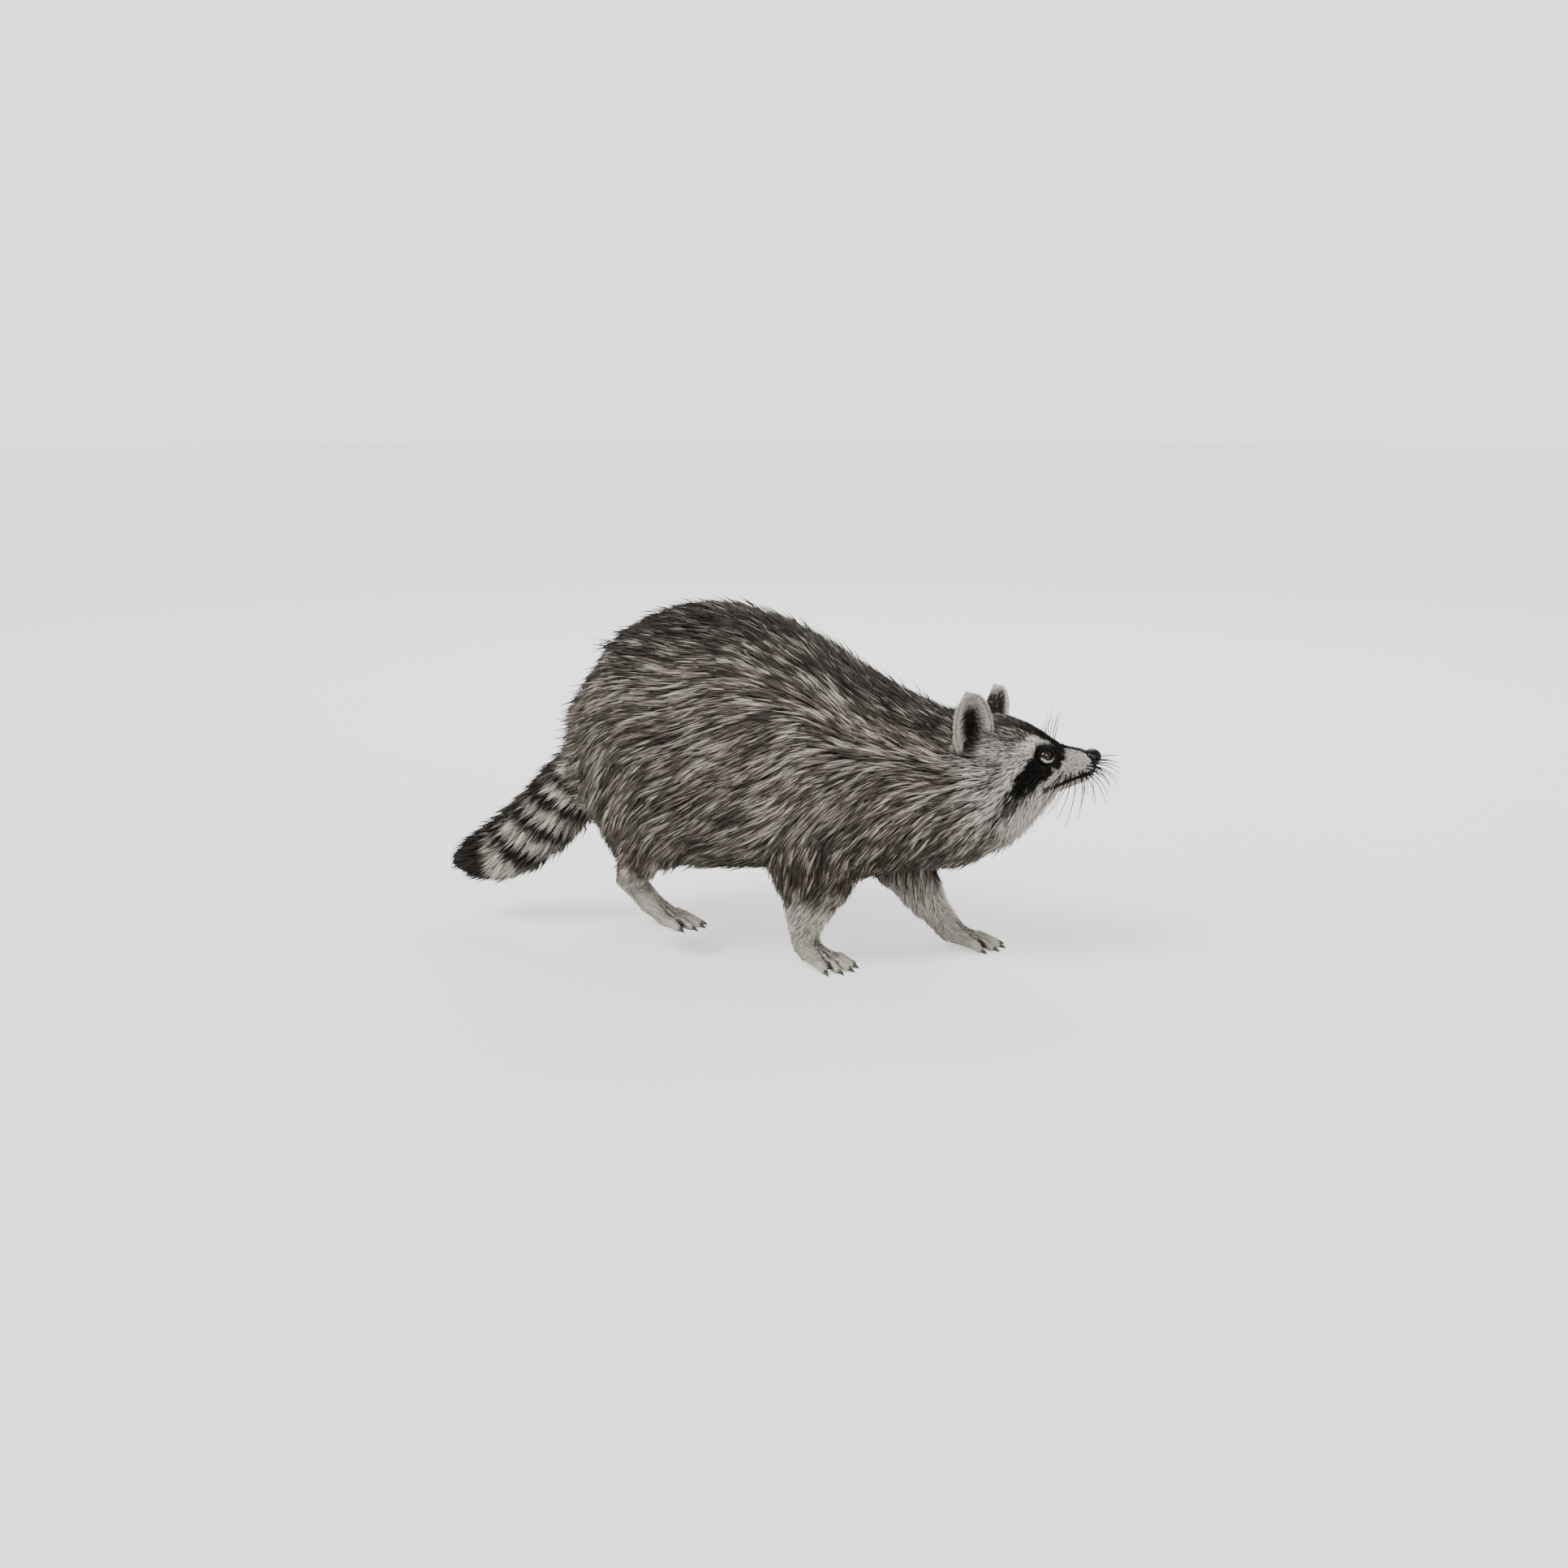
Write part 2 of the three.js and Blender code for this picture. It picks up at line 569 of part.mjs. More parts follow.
function earPoint(u, v, inner) {
  const half = EAR.half * Math.sqrt(1 - u ** 3) * (0.85 + 0.45 * u - 0.3 * u * u);
  const depth = EAR.cup * (1 - v * v) * (1 - 0.6 * u);
  const wall = inner ? EAR.wall * Math.sqrt(1 - v ** 4) * (1 - 0.5 * u) : 0;
  return new THREE.Vector3(wall - depth, half * v, EAR.height * u - EAR.sunk * (1 - u));
}

function earSolid({ side, base, lean, splay }) {
  const turn = new THREE.Euler(
    THREE.MathUtils.degToRad(-side * splay),
    THREE.MathUtils.degToRad(-lean),
    THREE.MathUtils.degToRad(side * EAR.turn),
    "XYZ",
  );
  const set = (p) => p.applyEuler(turn).add(new THREE.Vector3(...base));
  const rings = EAR_ROWS.map((u) => {
    const across = Array.from({ length: EAR_COLUMNS + 1 }, (_, j) => (j / EAR_COLUMNS) * 2 - 1);
    const inner = across.slice(1, -1).reverse();
    const [back, front] = [across.map((v) => earPoint(u, v, false)), inner.map((v) => earPoint(u, v, true))];
    return [...back, ...front].map(set);
  });
  return tube(rings, set(earPoint(1, 0, false)));
}

function noseSolid() {
  const pits = [1, -1].flatMap((side) => [
    ellipsoid(mirrored(NOSTRIL.at, side), NOSTRIL.radii, 7, 5),
    ellipsoid(mirrored(NOSTRIL_SLIT.at, side), NOSTRIL_SLIT.radii, 6, 4),
  ]);
  return cut(ellipsoid(NOSE.at, NOSE.radii), pits);
}

// ---------------------------------------------------------------- locks of the coat

let seed = 20417;
function random() {
  seed = (seed * 1664525 + 1013904223) % 4294967296;
  return seed / 4294967296;
}

// The head starts past this plane, the neck past the next, and the tail past its own.
const HEAD_ROOT = { at: [184, 0, 170], toward: [0.954, 0, 0.3] };
const NECK_ROOT = { at: [118, 0, 170], toward: [0.97, 0, -0.24] };
const TAIL_ROOT = { at: [-194, 0, 168], toward: [-0.72, 0, -0.69] };
const past = ({ at, toward }, p) => new THREE.Vector3(...toward).dot(p.clone().sub(new THREE.Vector3(...at)));

// The stations that bound a leg's node: its own, with the top ones moved out to the flank.
const bounding = (chain) =>
  chain.slice(1).map(({ at, fore, side }, i) => {
    const high = 1 - THREE.MathUtils.smoothstep(i, 0, 2.5);
    return station(at.x, at.y + Math.sign(at.y) * 30 * high, at.z, fore, side, 0);
  });
const LEG_BOUNDS = Object.entries(LEGS).map(([name, chain]) => [name, bounding(chain)]);

// The node that a place in the coat belongs to.
function ownerOf(p) {
  for (const [name, chain] of LEG_BOUNDS) if (nearestOn(chain, p).outside < LEG_MARGIN) return name;
  if (past(TAIL_ROOT, p) > 0 && nearestOn(TAIL, p).outside < TAIL_MARGIN) return "tail";
  if (past(HEAD_ROOT, p) > 0) return "head";
  return past(NECK_ROOT, p) > 0 ? "neck" : "torso";
}

// Places all over the tips of the coat, close together.
const SAMPLES = { around: 60, apart: 6, until: 215, between: [0, 0.2, 0.4, 0.6, 0.8] };
const DEEPEST_COAT = Math.max(...BODY.map(({ coatTop }) => coatTop));

function coatPlaces() {
  const places = [];
  const turns = Array.from({ length: SAMPLES.around }, (_, i) => (i * 2 * Math.PI) / SAMPLES.around);
  for (let x = BODY[0].x + 2; x < SAMPLES.until; x += SAMPLES.apart)
    for (const angle of turns) places.push(bodyPoint(x, angle, coreInset(DEEPEST_COAT)));
  for (const chain of [TAIL, ...Object.values(LEGS)])
    for (let i = 0; i + 1 < chain.length; i++)
      for (const t of SAMPLES.between) {
        const at = chain[i].at.clone().lerp(chain[i + 1].at, t);
        const radius = THREE.MathUtils.lerp(chain[i].side, chain[i + 1].side, t);
        const along = chain[i + 1].at.clone().sub(chain[i].at).normalize();
        const side = new THREE.Vector3(0, 1, 0).addScaledVector(along, -along.y).normalize();
        const fore = side.clone().cross(along);
        for (const angle of turns)
          places.push(
            at
              .clone()
              .addScaledVector(side, radius * Math.cos(angle))
              .addScaledVector(fore, radius * Math.sin(angle)),
          );
      }
  return places;
}

// Roots spread evenly: places are drawn at random and kept where none kept before is too close.
function lockRoots() {
  const order = coatPlaces().map((p) => ({ p, draw: random() }));
  order.sort((a, b) => a.draw - b.draw);
  const kept = [];
  for (const { p } of order) {
    const level = outside(p);
    if (Math.abs(level) > LOCKS.deepest) continue;
    settle(p, 0);
    const { coat } = nearest(p);
    if (coat < LOCKS.least || outward(p).length() < LOCKS.gentlest) continue;
    const apart = LOCKS.apart * Math.sqrt(coat / LOCKS.full);
    if (kept.every((other) => other.p.distanceTo(p) > apart)) kept.push({ p, coat });
  }
  return kept;
}

// The lock's middle line: from its root along the lie of the coat, kept at the level of the tips.
function lockRun(root, length, bend) {
  const run = [root.clone()];
  for (let i = 0; i < LOCKS.steps; i++) {
    const p = run[i].clone();
    const out = outward(p).normalize();
    const { lie } = nearest(p);
    lie.z += bend;
    lie.addScaledVector(out, -lie.dot(out)).normalize();
    run.push(settle(p.addScaledVector(lie, length / LOCKS.steps), 0));
  }
  return run;
}

// Whether a run keeps to the outline and turns gently.
function liesWell(run) {
  const first = outward(run[0]).normalize();
  const turned = (p) => outward(p).normalize().dot(first);
  return run.every((p) => Math.abs(outside(p)) < LOCKS.strays && turned(p) > LOCKS.bow);
}

// A lock: three-sided, with a ridge, a wide flat underside and a tip at the coat's outline. One that would
// cross into the next node is bent or shortened, and null where no room is left.
function lockSolid({ p: root, coat }) {
  const size = Math.sqrt(coat / LOCKS.full);
  const owner = ownerOf(root);
  const stays = (run) => run.every((p) => ownerOf(p) === owner);
  const wanted = LOCKS.length * size * (0.85 + 0.3 * random());
  const width = LOCKS.half * size * (0.85 + 0.3 * random());
  const skew = (random() - 0.5) * 0.5 * width;
  const tries = LOCKS.shares.flatMap((share) => LOCKS.bends.map((bend) => ({ length: wanted * share, bend })));
  const fitting = tries.find(({ length, bend }) => stays(lockRun(root, length, bend)));
  if (!fitting) return null;
  const { length, bend } = fitting;
  const run = lockRun(root, length, bend);
  if (!liesWell(run)) return null;
  const inset = coreInset(coat);
  const path = new THREE.CatmullRomCurve3(run);
  const sides = LOCKS.at.map((t) => path.getTangent(t).cross(outward(path.getPoint(t))).normalize());
  if (sides.some((side) => side.dot(sides[0]) < LOCKS.twist)) return null;
  const rings = LOCKS.at.map((t, i) => {
    const p = path.getPoint(t);
    const out = outward(p).normalize();
    const side = sides[i];
    const half = width * LOCKS.taper[i];
    const middle = p.clone().addScaledVector(side, skew * t * t);
    const ridge = middle.clone().addScaledVector(out, -inset * (1 - LOCKS.rise[i]));
    const under = -inset * (1 - LOCKS.keel[i]) - (i === 0 ? LOCKS.sunk : 0);
    const edge = (sign) => {
      const q = settle(middle.clone().addScaledVector(side, sign * half), 0);
      return q.addScaledVector(outward(q).normalize(), under);
    };
    return [edge(-1), ridge, edge(1)];
  });
  const tip = path.getPoint(1).addScaledVector(outward(path.getPoint(1)), -LOCKS.under);
  const lock = tube(rings, tip);
  return lock.volume() > LOCKS.slightest * length * width * inset ? lock : null;
}

// ---------------------------------------------------------------- joining the whole animal

const wholeParts = [bodySolid(), tailSolid()];
for (const chain of Object.values(LEGS)) wholeParts.push(legSolid(chain));
for (const foot of FEET) {
  wholeParts.push(soleSolid(foot));
  for (const toe of TOES) wholeParts.push(toeSolid(foot, toe));
}
for (const side of [1, -1]) {
  wholeParts.push(lidSolid(side), lipSolid(side, LIP.above), lipSolid(side, -LIP.below));
  wholeParts.push(ellipsoid(mirrored(WHISKER_PAD.at, side), WHISKER_PAD.radii, 10, 6));
}
for (const root of lockRoots()) {
  const lock = lockSolid(root);
  if (lock) wholeParts.push(lock);
}
const underFloor = box([-2 * FAR, -FAR, -FAR], [2 * FAR, FAR, 0]);
let whole = join(wholeParts).subtract(underFloor);

const eyes = [1, -1].map((side) => ellipsoid(mirrored(EYE.at, side), Array(3).fill(EYE.radius)));
const sockets = [1, -1].map((side) => ellipsoid(mirrored(EYE.at, side), Array(3).fill(EYE.radius + GAP)));
const noseSeat = ellipsoid(NOSE.at, NOSE.radii.map((radius) => radius + GAP));
whole = cut(whole, [...sockets, noseSeat]);

// ---------------------------------------------------------------- parting it into nodes

const nodes = new Map();

// A tube round a chain, `margin` wider and longer than its stations.
function widened(chain, sides, margin) {
  const rings = chainRings(chain, sides, ({ fore, side }) => ({ f: fore + margin, s: side + margin }));
  const start = chain[0].at.clone().sub(chain[1].at).setLength(margin);
  for (const p of rings[0]) p.add(start);
  return tube(rings);
}

const ANKLES = {
  foreleg_right: { foot: "forefoot_right", at: [35, -50, 30], toward: [0.1, 0, -1] },
  foreleg_left: { foot: "forefoot_left", at: [143, 50, 27], toward: [0.6, 0, -1] },
  hindleg_right: { foot: "hindfoot_right", at: [-134, -54, 78], toward: [0.25, 0, -1] },
  hindleg_left: { foot: "hindfoot_left", at: [-174, 54, 54], toward: [0.25, 0, -1] },
};
const FOOT_REACH = { back: 30, ahead: 112, inner: 4, outer: 110, high: 104 };
let rest = whole;
for (const [name, bounds] of LEG_BOUNDS) {
  const side = Math.sign(bounds[0].at.y);
  const { foot, at, toward } = ANKLES[name];
  const above = beyond(at, toward.map((v) => -v));
  const limb = whole.intersect(widened(bounds, LIMB_SIDES, LEG_MARGIN)).intersect(above);
  rest = rest.subtract(widened(bounds, LIMB_SIDES, LEG_MARGIN + GAP));
  nodes.set(name, largest(limb));
  const [near, far] = [FOOT_REACH.inner, FOOT_REACH.outer].map((y) => y * side);
  const reach = box(
    [at[0] - FOOT_REACH.back, Math.min(near, far), -10],
    [at[0] + FOOT_REACH.ahead, Math.max(near, far), FOOT_REACH.high],
  ).intersect(beyond(at, toward));
  nodes.set(foot, largest(whole.intersect(reach)));
  rest = rest.subtract(reach);
}

const pastRoot = beyond(TAIL_ROOT.at, TAIL_ROOT.toward);
nodes.set("tail", largest(rest.intersect(widened(TAIL, TAIL_SIDES, TAIL_MARGIN)).intersect(pastRoot)));
const rootSeat = join([pastRoot, slab(TAIL_ROOT)]);
rest = rest.subtract(widened(TAIL, TAIL_SIDES, TAIL_MARGIN + GAP).intersect(rootSeat));
const headSide = beyond(HEAD_ROOT.at, HEAD_ROOT.toward);
const neckSide = beyond(NECK_ROOT.at, NECK_ROOT.toward);
const head = rest.intersect(headSide);
nodes.set("neck", largest(cut(rest.intersect(neckSide), [headSide, slab(HEAD_ROOT)])));
nodes.set("torso", largest(cut(rest, [neckSide, slab(NECK_ROOT)])));

// The lower jaw lies under the line of the lips and in front of its corner.
const JAW = { back: 3, under: 150, front: 310, half: 60 }; // how far the cut for it reaches
const [cornerX, cornerZ] = MOUTH[MOUTH.length - 1];
const jawFront = [JAW.front, JAW.under];
const jawOutline = [...MOUTH.map(([x, z]) => [x, z - MOUTH_OPEN]), [cornerX - JAW.back, JAW.under], jawFront];
nodes.set("lower_jaw", largest(head.intersect(across(jawOutline, JAW.half))));
const seatOutline = [...MOUTH, [cornerX - GAP, cornerZ], [cornerX - JAW.back - GAP, JAW.under], jawFront];
nodes.set("head", largest(head.subtract(across(seatOutline, JAW.half))));

const bodyWithGap = bodySolid(GAP);
const hand = (side) => (side > 0 ? "left" : "right");
[1, -1].forEach((side, i) => nodes.set("eye_" + hand(side), eyes[i]));
for (const ear of EARS) nodes.set("ear_" + hand(ear.side), largest(earSolid(ear).subtract(bodyWithGap)));
nodes.set("nose", noseSolid());
for (const foot of FEET)
  TOES.forEach((toe, i) => nodes.set(`claw_${foot.name}_${i + 1}`, clawSolid(foot, toe)));

// ---------------------------------------------------------------- the model

const paint = (color, roughness) => new THREE.MeshStandardMaterial({ color, roughness, metalness: 0 });
const FINISHES = {
  coat: paint(0x8a8378, 0.9),
  ringed: paint(0x6b645a, 0.9),
  face: paint(0xb9b3a8, 0.85),
  feet: paint(0xa39a8c, 0.85),
  eye: paint(0x120d0a, 0.1),
  nose: paint(0x141212, 0.4),
  claw: paint(0x3a322b, 0.4),
};
const finishOf = (name) => {
  if (name.startsWith("claw")) return FINISHES.claw;
  if (name.startsWith("eye")) return FINISHES.eye;
  if (name === "nose") return FINISHES.nose;
  if (name === "tail") return FINISHES.ringed;
  if (name.includes("foot")) return FINISHES.feet;
  return name === "head" || name === "lower_jaw" || name.startsWith("ear") ? FINISHES.face : FINISHES.coat;
};

const bounds = new THREE.Box3();
for (const solid of nodes.values()) {
  const { min, max } = solid.boundingBox();
  bounds.union(new THREE.Box3(new THREE.Vector3(...min), new THREE.Vector3(...max)));
}
const middle = bounds.getCenter(new THREE.Vector3());
const model = new THREE.Group();
for (const [name, solid] of nodes) {
  const mesh = new THREE.Mesh(geometryOf(largest(solid.translate(-middle.x, -middle.y, 0))), finishOf(name));
  mesh.name = name;
  model.add(mesh);
}

export default model;
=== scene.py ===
"""Dresses the walking raccoon: one skin, a coat in tufts, eyes with lids, nose, lips, whiskers and claws.

Shapes are worked out in the animal's own frame: millimetres, +X towards the nose, +Y towards its left,
+Z up, feet on Z = 0. `placed` turns them into the frame's metres.
"""

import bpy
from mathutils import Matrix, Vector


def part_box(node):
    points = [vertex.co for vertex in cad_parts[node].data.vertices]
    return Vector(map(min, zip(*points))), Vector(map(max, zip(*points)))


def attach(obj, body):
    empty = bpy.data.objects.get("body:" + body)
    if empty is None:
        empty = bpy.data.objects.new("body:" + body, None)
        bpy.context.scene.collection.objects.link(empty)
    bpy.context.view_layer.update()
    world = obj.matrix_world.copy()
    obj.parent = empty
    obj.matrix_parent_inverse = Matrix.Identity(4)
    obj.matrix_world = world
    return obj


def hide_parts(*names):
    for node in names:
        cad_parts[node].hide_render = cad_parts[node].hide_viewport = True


bl_info = {
    "name": "Walking raccoon",
    "version": (1, 0, 0),
    "blender": (4, 5, 0),
    "location": "3D View > Sidebar > Raccoon",
    "description": "Skin, coat, eyes, nose, whiskers and claws of a life-size raccoon in mid stride",
    "category": "Add Mesh",
}

import math
from collections import namedtuple

import bmesh
import bpy
import numpy as np
from mathutils import Vector

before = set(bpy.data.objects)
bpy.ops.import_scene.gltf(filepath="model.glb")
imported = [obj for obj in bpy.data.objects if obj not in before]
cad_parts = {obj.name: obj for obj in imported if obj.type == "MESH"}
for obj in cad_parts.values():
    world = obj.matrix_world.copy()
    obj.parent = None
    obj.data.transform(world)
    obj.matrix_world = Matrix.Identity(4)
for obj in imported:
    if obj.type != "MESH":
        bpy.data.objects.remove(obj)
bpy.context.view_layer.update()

# -------- sizes, in millimetres

# Sections from the rump to the lips: x, highest, widest and lowest level, half the width, and the coat's
# depth over the back and on the sides.
BODY = [
    (-207, 208, 190, 174, 16, 14, 14),
    (-200, 234, 190, 146, 44, 20, 20),
    (-184, 267, 189, 116, 70, 24, 23),
    (-159, 301, 186, 94, 88, 27, 25),
    (-118, 323, 180, 79, 98, 28, 26),
    (-72, 332, 176, 77, 101, 28, 26),
    (-22, 325, 174, 79, 99, 27, 25),
    (30, 305, 172, 77, 91, 26, 24),
    (72, 280, 168, 75, 83, 24, 22),
    (112, 259, 165, 82, 75, 21, 21),
    (146, 245, 162, 89, 70, 17, 21),
    (172, 236.5, 160, 92, 69, 10, 20),
    (195, 237.5, 160, 102, 70, 6, 18),
    (212, 236, 163, 115, 66, 5, 14),
    (228, 231, 170, 129, 55, 4, 10),
    (242, 224.5, 179, 146, 41, 3.5, 7),
    (254, 217, 186, 161, 30.5, 3, 4),
    (264, 212, 190, 169, 25, 2.5, 2.5),
    (275, 210, 192, 174.5, 21, 2, 2),
    (285, 209, 194, 179, 16.5, 1.5, 1.5),
    (292, 206, 195, 183.5, 12, 1, 1),
    (295.5, 200, 194, 188, 6, 1, 1),
]
SECTION_POWER = 2.2

# Stations of each limb: x, y, z, radius fore and aft, radius sideways, coat's depth.
LIMB_ROWS = {
    "tail": [
        (-158, 0, 196, 26, 26, 14),
        (-190, 0, 170, 33, 31, 20),
        (-219, 1, 139, 35, 33, 22),
        (-249, 3, 107, 36, 34, 23),
        (-278, 5, 83, 34, 32, 22),
        (-303, 6, 71, 29, 28, 19),
        (-322, 7, 65, 21, 21, 14),
        (-334, 7, 61.5, 12, 12, 8),
        (-340, 7, 60, 5, 5, 3),
    ],
    "foreleg_right": [
        (28, -36, 214, 44, 34, 23),
        (33, -47, 172, 50, 38, 23),
        (41, -53, 132, 50, 34, 21),
        (45, -54, 98, 46, 29, 18),
        (43, -53, 76, 37, 24, 14),
        (39, -52, 58, 27, 19, 9),
        (36, -51, 43, 18.5, 15, 6),
        (34, -50, 31, 14, 13, 4),
        (34, -50, 21, 12.5, 12, 3),
    ],
    "foreleg_left": [
        (52, 36, 212, 44, 34, 23),
        (66, 47, 170, 50, 37, 23),
        (84, 52, 130, 48, 33, 21),
        (98, 52, 98, 43, 28, 18),
        (110, 52, 75, 33, 23, 14),
        (122, 51, 53, 23, 18, 9),
        (134, 50, 37, 17, 14.5, 6),
        (145, 50, 25, 13.5, 13, 4),
        (150, 50, 17, 12, 12, 3),
    ],
    "hindleg_right": [
        (-118, -42, 224, 50, 40, 24),
        (-117, -57, 186, 59, 47, 24),
        (-118, -63, 150, 53, 39, 22),
        (-119, -64, 122, 42, 31, 18),
        (-121, -60, 102, 31, 23, 13),
        (-128, -56, 86, 20, 17, 7),
        (-135, -54, 76, 14, 13, 4),
        (-137, -53, 70, 12, 12, 3),
    ],
    "hindleg_left": [
        (-118, 42, 224, 50, 40, 24),
        (-125, 57, 186, 59, 47, 24),
        (-139, 63, 148, 53, 39, 22),
        (-153, 64, 114, 42, 31, 18),
        (-161, 60, 88, 31, 23, 13),
        (-169, 56, 66, 20, 17, 7),
        (-175, 54, 52, 14, 13, 4),
        (-177, 53, 44, 12, 12, 3),
    ],
}

# Soles run from heel to ball: ahead of the ball, up, half the width, half the thickness.
FORE_SOLE = [(-22, 19, 12, 12), (-14, 11.5, 14, 11.5), (0, 7.2, 17, 8.5), (8, 5.2, 15.5, 6)]
HIND_SOLE = [
    (-43, 46, 11.5, 11),
    (-33, 36, 12.5, 10.5),
    (-17, 19, 14.5, 9.5),
    (0, 7.4, 17.5, 8.7),
    (9, 5.2, 16, 6),
]
# The ball's place on the floor, the heading in degrees with left positive, how far the whole foot is off the
# floor, its sole, the toes' length and the angle between them.
Foot = namedtuple("Foot", "ball heading lift sole toe fan")
FEET = {
    "forefoot_right": Foot((56, -56), -18, 0, FORE_SOLE, 19, 15),
    "forefoot_left": Foot((172, 50), 2, 0, FORE_SOLE, 21, 15),
    "hindfoot_right": Foot((-98, -50), -4, 27, HIND_SOLE, 23, 10),
    "hindfoot_left": Foot((-137, 50), 4, 0, HIND_SOLE, 23, 10),
}
TOES = (-2, -1, 0, 1, 2)
TOE_RADIUS, TOE_TIP = 4.8, 4.0
TOE_APART, TOE_AHEAD, TOE_BACK, TOE_SHORTER = 6.6, 5.0, 1.3, 0.07
TOE_ROOT_UP, TOE_KNUCKLE_UP, TOE_END_UP = 6.6, 6.8, 3.2
CLAW_LENGTH, CLAW_RADIUS, CLAW_DROP = 8.5, 2.2, 2.8
CLAW_STEPS, CLAW_SIDES = 15, 10
FOOT_COAT, TOE_COAT = 2.4, 1.0
SOLE_CUT, SOLE_EDGE = 0.4, 1.2  # the level that the soles are cut at, and how round their edge is

EYE_AT, EYE_RADIUS = np.array([250, 19.6, 203.8]), 8.3
BALL_UNDER, CORNEA, CORNEA_WIDE = 0.25, 0.7, 0.5  # the ball's play, and the cornea's height and angle
SOCKET_GAP, SOCKET_EDGE = 0.4, 2.0
NOSE_AT, NOSE_RADII = np.array([290.5, 0, 202.5]), np.array([8.5, 9.2, 8.2])
EAR_HEIGHT, EAR_SUNK, EAR_HALF, EAR_CUP, EAR_WALL, EAR_TURN = 49, 12, 21.5, 13, 3, 46
EAR_FUR = 1.0  # how much smaller the shell is all round, to leave room for the fur
# Each ear's side, the place of its base, and its lean and splay in degrees.
EARS = {"right": (-1, (191.5, -43, 218), 4, 20), "left": (1, (192, 42, 210), 1, 33)}
MOUTH = np.array([(302, 190.5), (291, 189.5), (279, 185.5), (266, 179.5), (256, 174.5), (251.5, 172.5)])
CREASE_DEPTH, CREASE_HALF = 1.3, 1.0
PAD_AT, PAD_RADII = np.array([281, 9.8, 193.3]), np.array([13, 8, 8.5])  # of the left whisker pad
PAD_ROUND, PAD_COAT = 3.0, 1.2

TAIL_ROUND, LEG_ROUND, SOLE_ROUND, TOE_ROUND = 10.0, 12.0, 6.0, 2.2  # how round each joins the rest
SEGMENT_ROUND = 2.0  # how round two segments of a limb join
FACE_X = 225  # where the face begins
MUZZLE_X = (254, 262)  # where the muzzle begins and where it is all muzzle
COAT_BACK, COAT_SIDE = -351, 107  # how far the hair tips reach behind the tail and to each side
GRID = 2.5  # of the lattice that the skin is read from
COARSER, CLOSE = 4, 5.5  # the rough lattice's step, and how near the skin the fine one is read, in fine steps
FAR = 1e3
EAR_SEED, LID_SEED, HAIR_SEED = 19, 23, 77

# -------- small helpers

MM = 0.001
_low, _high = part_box("eye_right")
SHIFT = np.array(_low + _high) / 2 / MM - EYE_AT * (1, -1, 1)


def placed(points):
    """The animal's own millimetres as metres in the frame."""
    return (np.asarray(points, float) + SHIFT) * MM


def lerp(a, b, t):
    """a where t is 0, b where it is 1, and a straight line between."""
    return a + (b - a) * t


def ramp(value, low, high):
    """0 under low, 1 over high, and a smooth rise 3t^2 - 2t^3 between."""
    t = np.clip((value - low) / (high - low), 0, 1)
    return t * t * (3 - 2 * t)


def dot(a, b):
    """The dot product of each pair of rows."""
    return (a * b).sum(-1)


def unit(v):
    """Each row at length 1."""
    return v / np.maximum(np.linalg.norm(v, axis=-1, keepdims=True), 1e-9)


def square_to(v, axis):
    """v with its share along the unit vector `axis` taken off, at length 1."""
    return unit(v - dot(v, axis)[..., None] * axis)


def on_left(p):
    """Places with those on the animal's right mirrored to its left."""
    return np.stack([p[:, 0], np.abs(p[:, 1]), p[:, 2]], 1)


def linear(colour):
    """An sRGB colour in 0..255 as linear values."""
    c = np.asarray(colour, float) / 255
    return np.where(c <= 0.04045, c / 12.92, ((c + 0.055) / 1.055) ** 2.4)


def waves(points, size, seed, count=6):
    """A smooth field in about -1..1: the mean of plane waves about `size` long in seeded directions."""
    rng = np.random.default_rng(seed)
    runs = unit(rng.normal(size=(count, 3))) * rng.uniform(0.7, 1.5, (count, 1)) * 2 * np.pi / size
    return np.sin(points @ runs.T + rng.uniform(0, 2 * np.pi, count)).sum(-1) / math.sqrt(count * 0.8)


def spline_table(rows, step=0.5):
    """Rows read every `step` along their first column, by a Catmull-Rom spline through them."""
    x = rows[:, 0]
    at = np.arange(x[0], x[-1] + step / 2, step)
    i = np.clip(np.searchsorted(x, at) - 1, 0, len(x) - 2)
    a, b, c, d = rows[np.clip(np.stack([i - 1, i, i + 1, i + 2]), 0, len(x) - 1)][..., 1:]
    t = ((at - x[i]) / (x[i + 1] - x[i]))[:, None]
    values = b + 0.5 * t * (c - a + t * (2 * a - 5 * b + 4 * c - d + t * (3 * (b - c) + d - a)))
    return at, values, np.gradient(values, step, axis=0)


# -------- the animal as a field


def inset(coat):
    """How far the skin lies under the coat's tips: short fur's whole depth, and half of a long coat's."""
    return coat * (1 - 0.5 * ramp(coat, 7, 14))


def meet(a, b, round_by):
    """Two forms joined: the lower level, rounded where they meet, with the coat and its lie mixed there."""
    share = np.clip(0.5 + 0.5 * (b[0] - a[0]) / round_by, 0, 1)
    level = lerp(b[0], a[0], share) - round_by * share * (1 - share)
    return level, lerp(b[1], a[1], share), lerp(b[2], a[2], share[:, None])


def blunt(a, b, round_by):
    """The higher of two levels, rounded where they meet."""
    share = np.clip(0.5 - 0.5 * (b - a) / round_by, 0, 1)
    return lerp(b, a, share) + round_by * share * (1 - share)


BODY_X, BODY_VALUES, BODY_SLOPES = spline_table(np.array(BODY))


def body_section(x):
    """Highest, widest and lowest level, half width and the coat's two depths of the section at x."""
    return [np.interp(x, BODY_X, column) for column in BODY_VALUES.T]


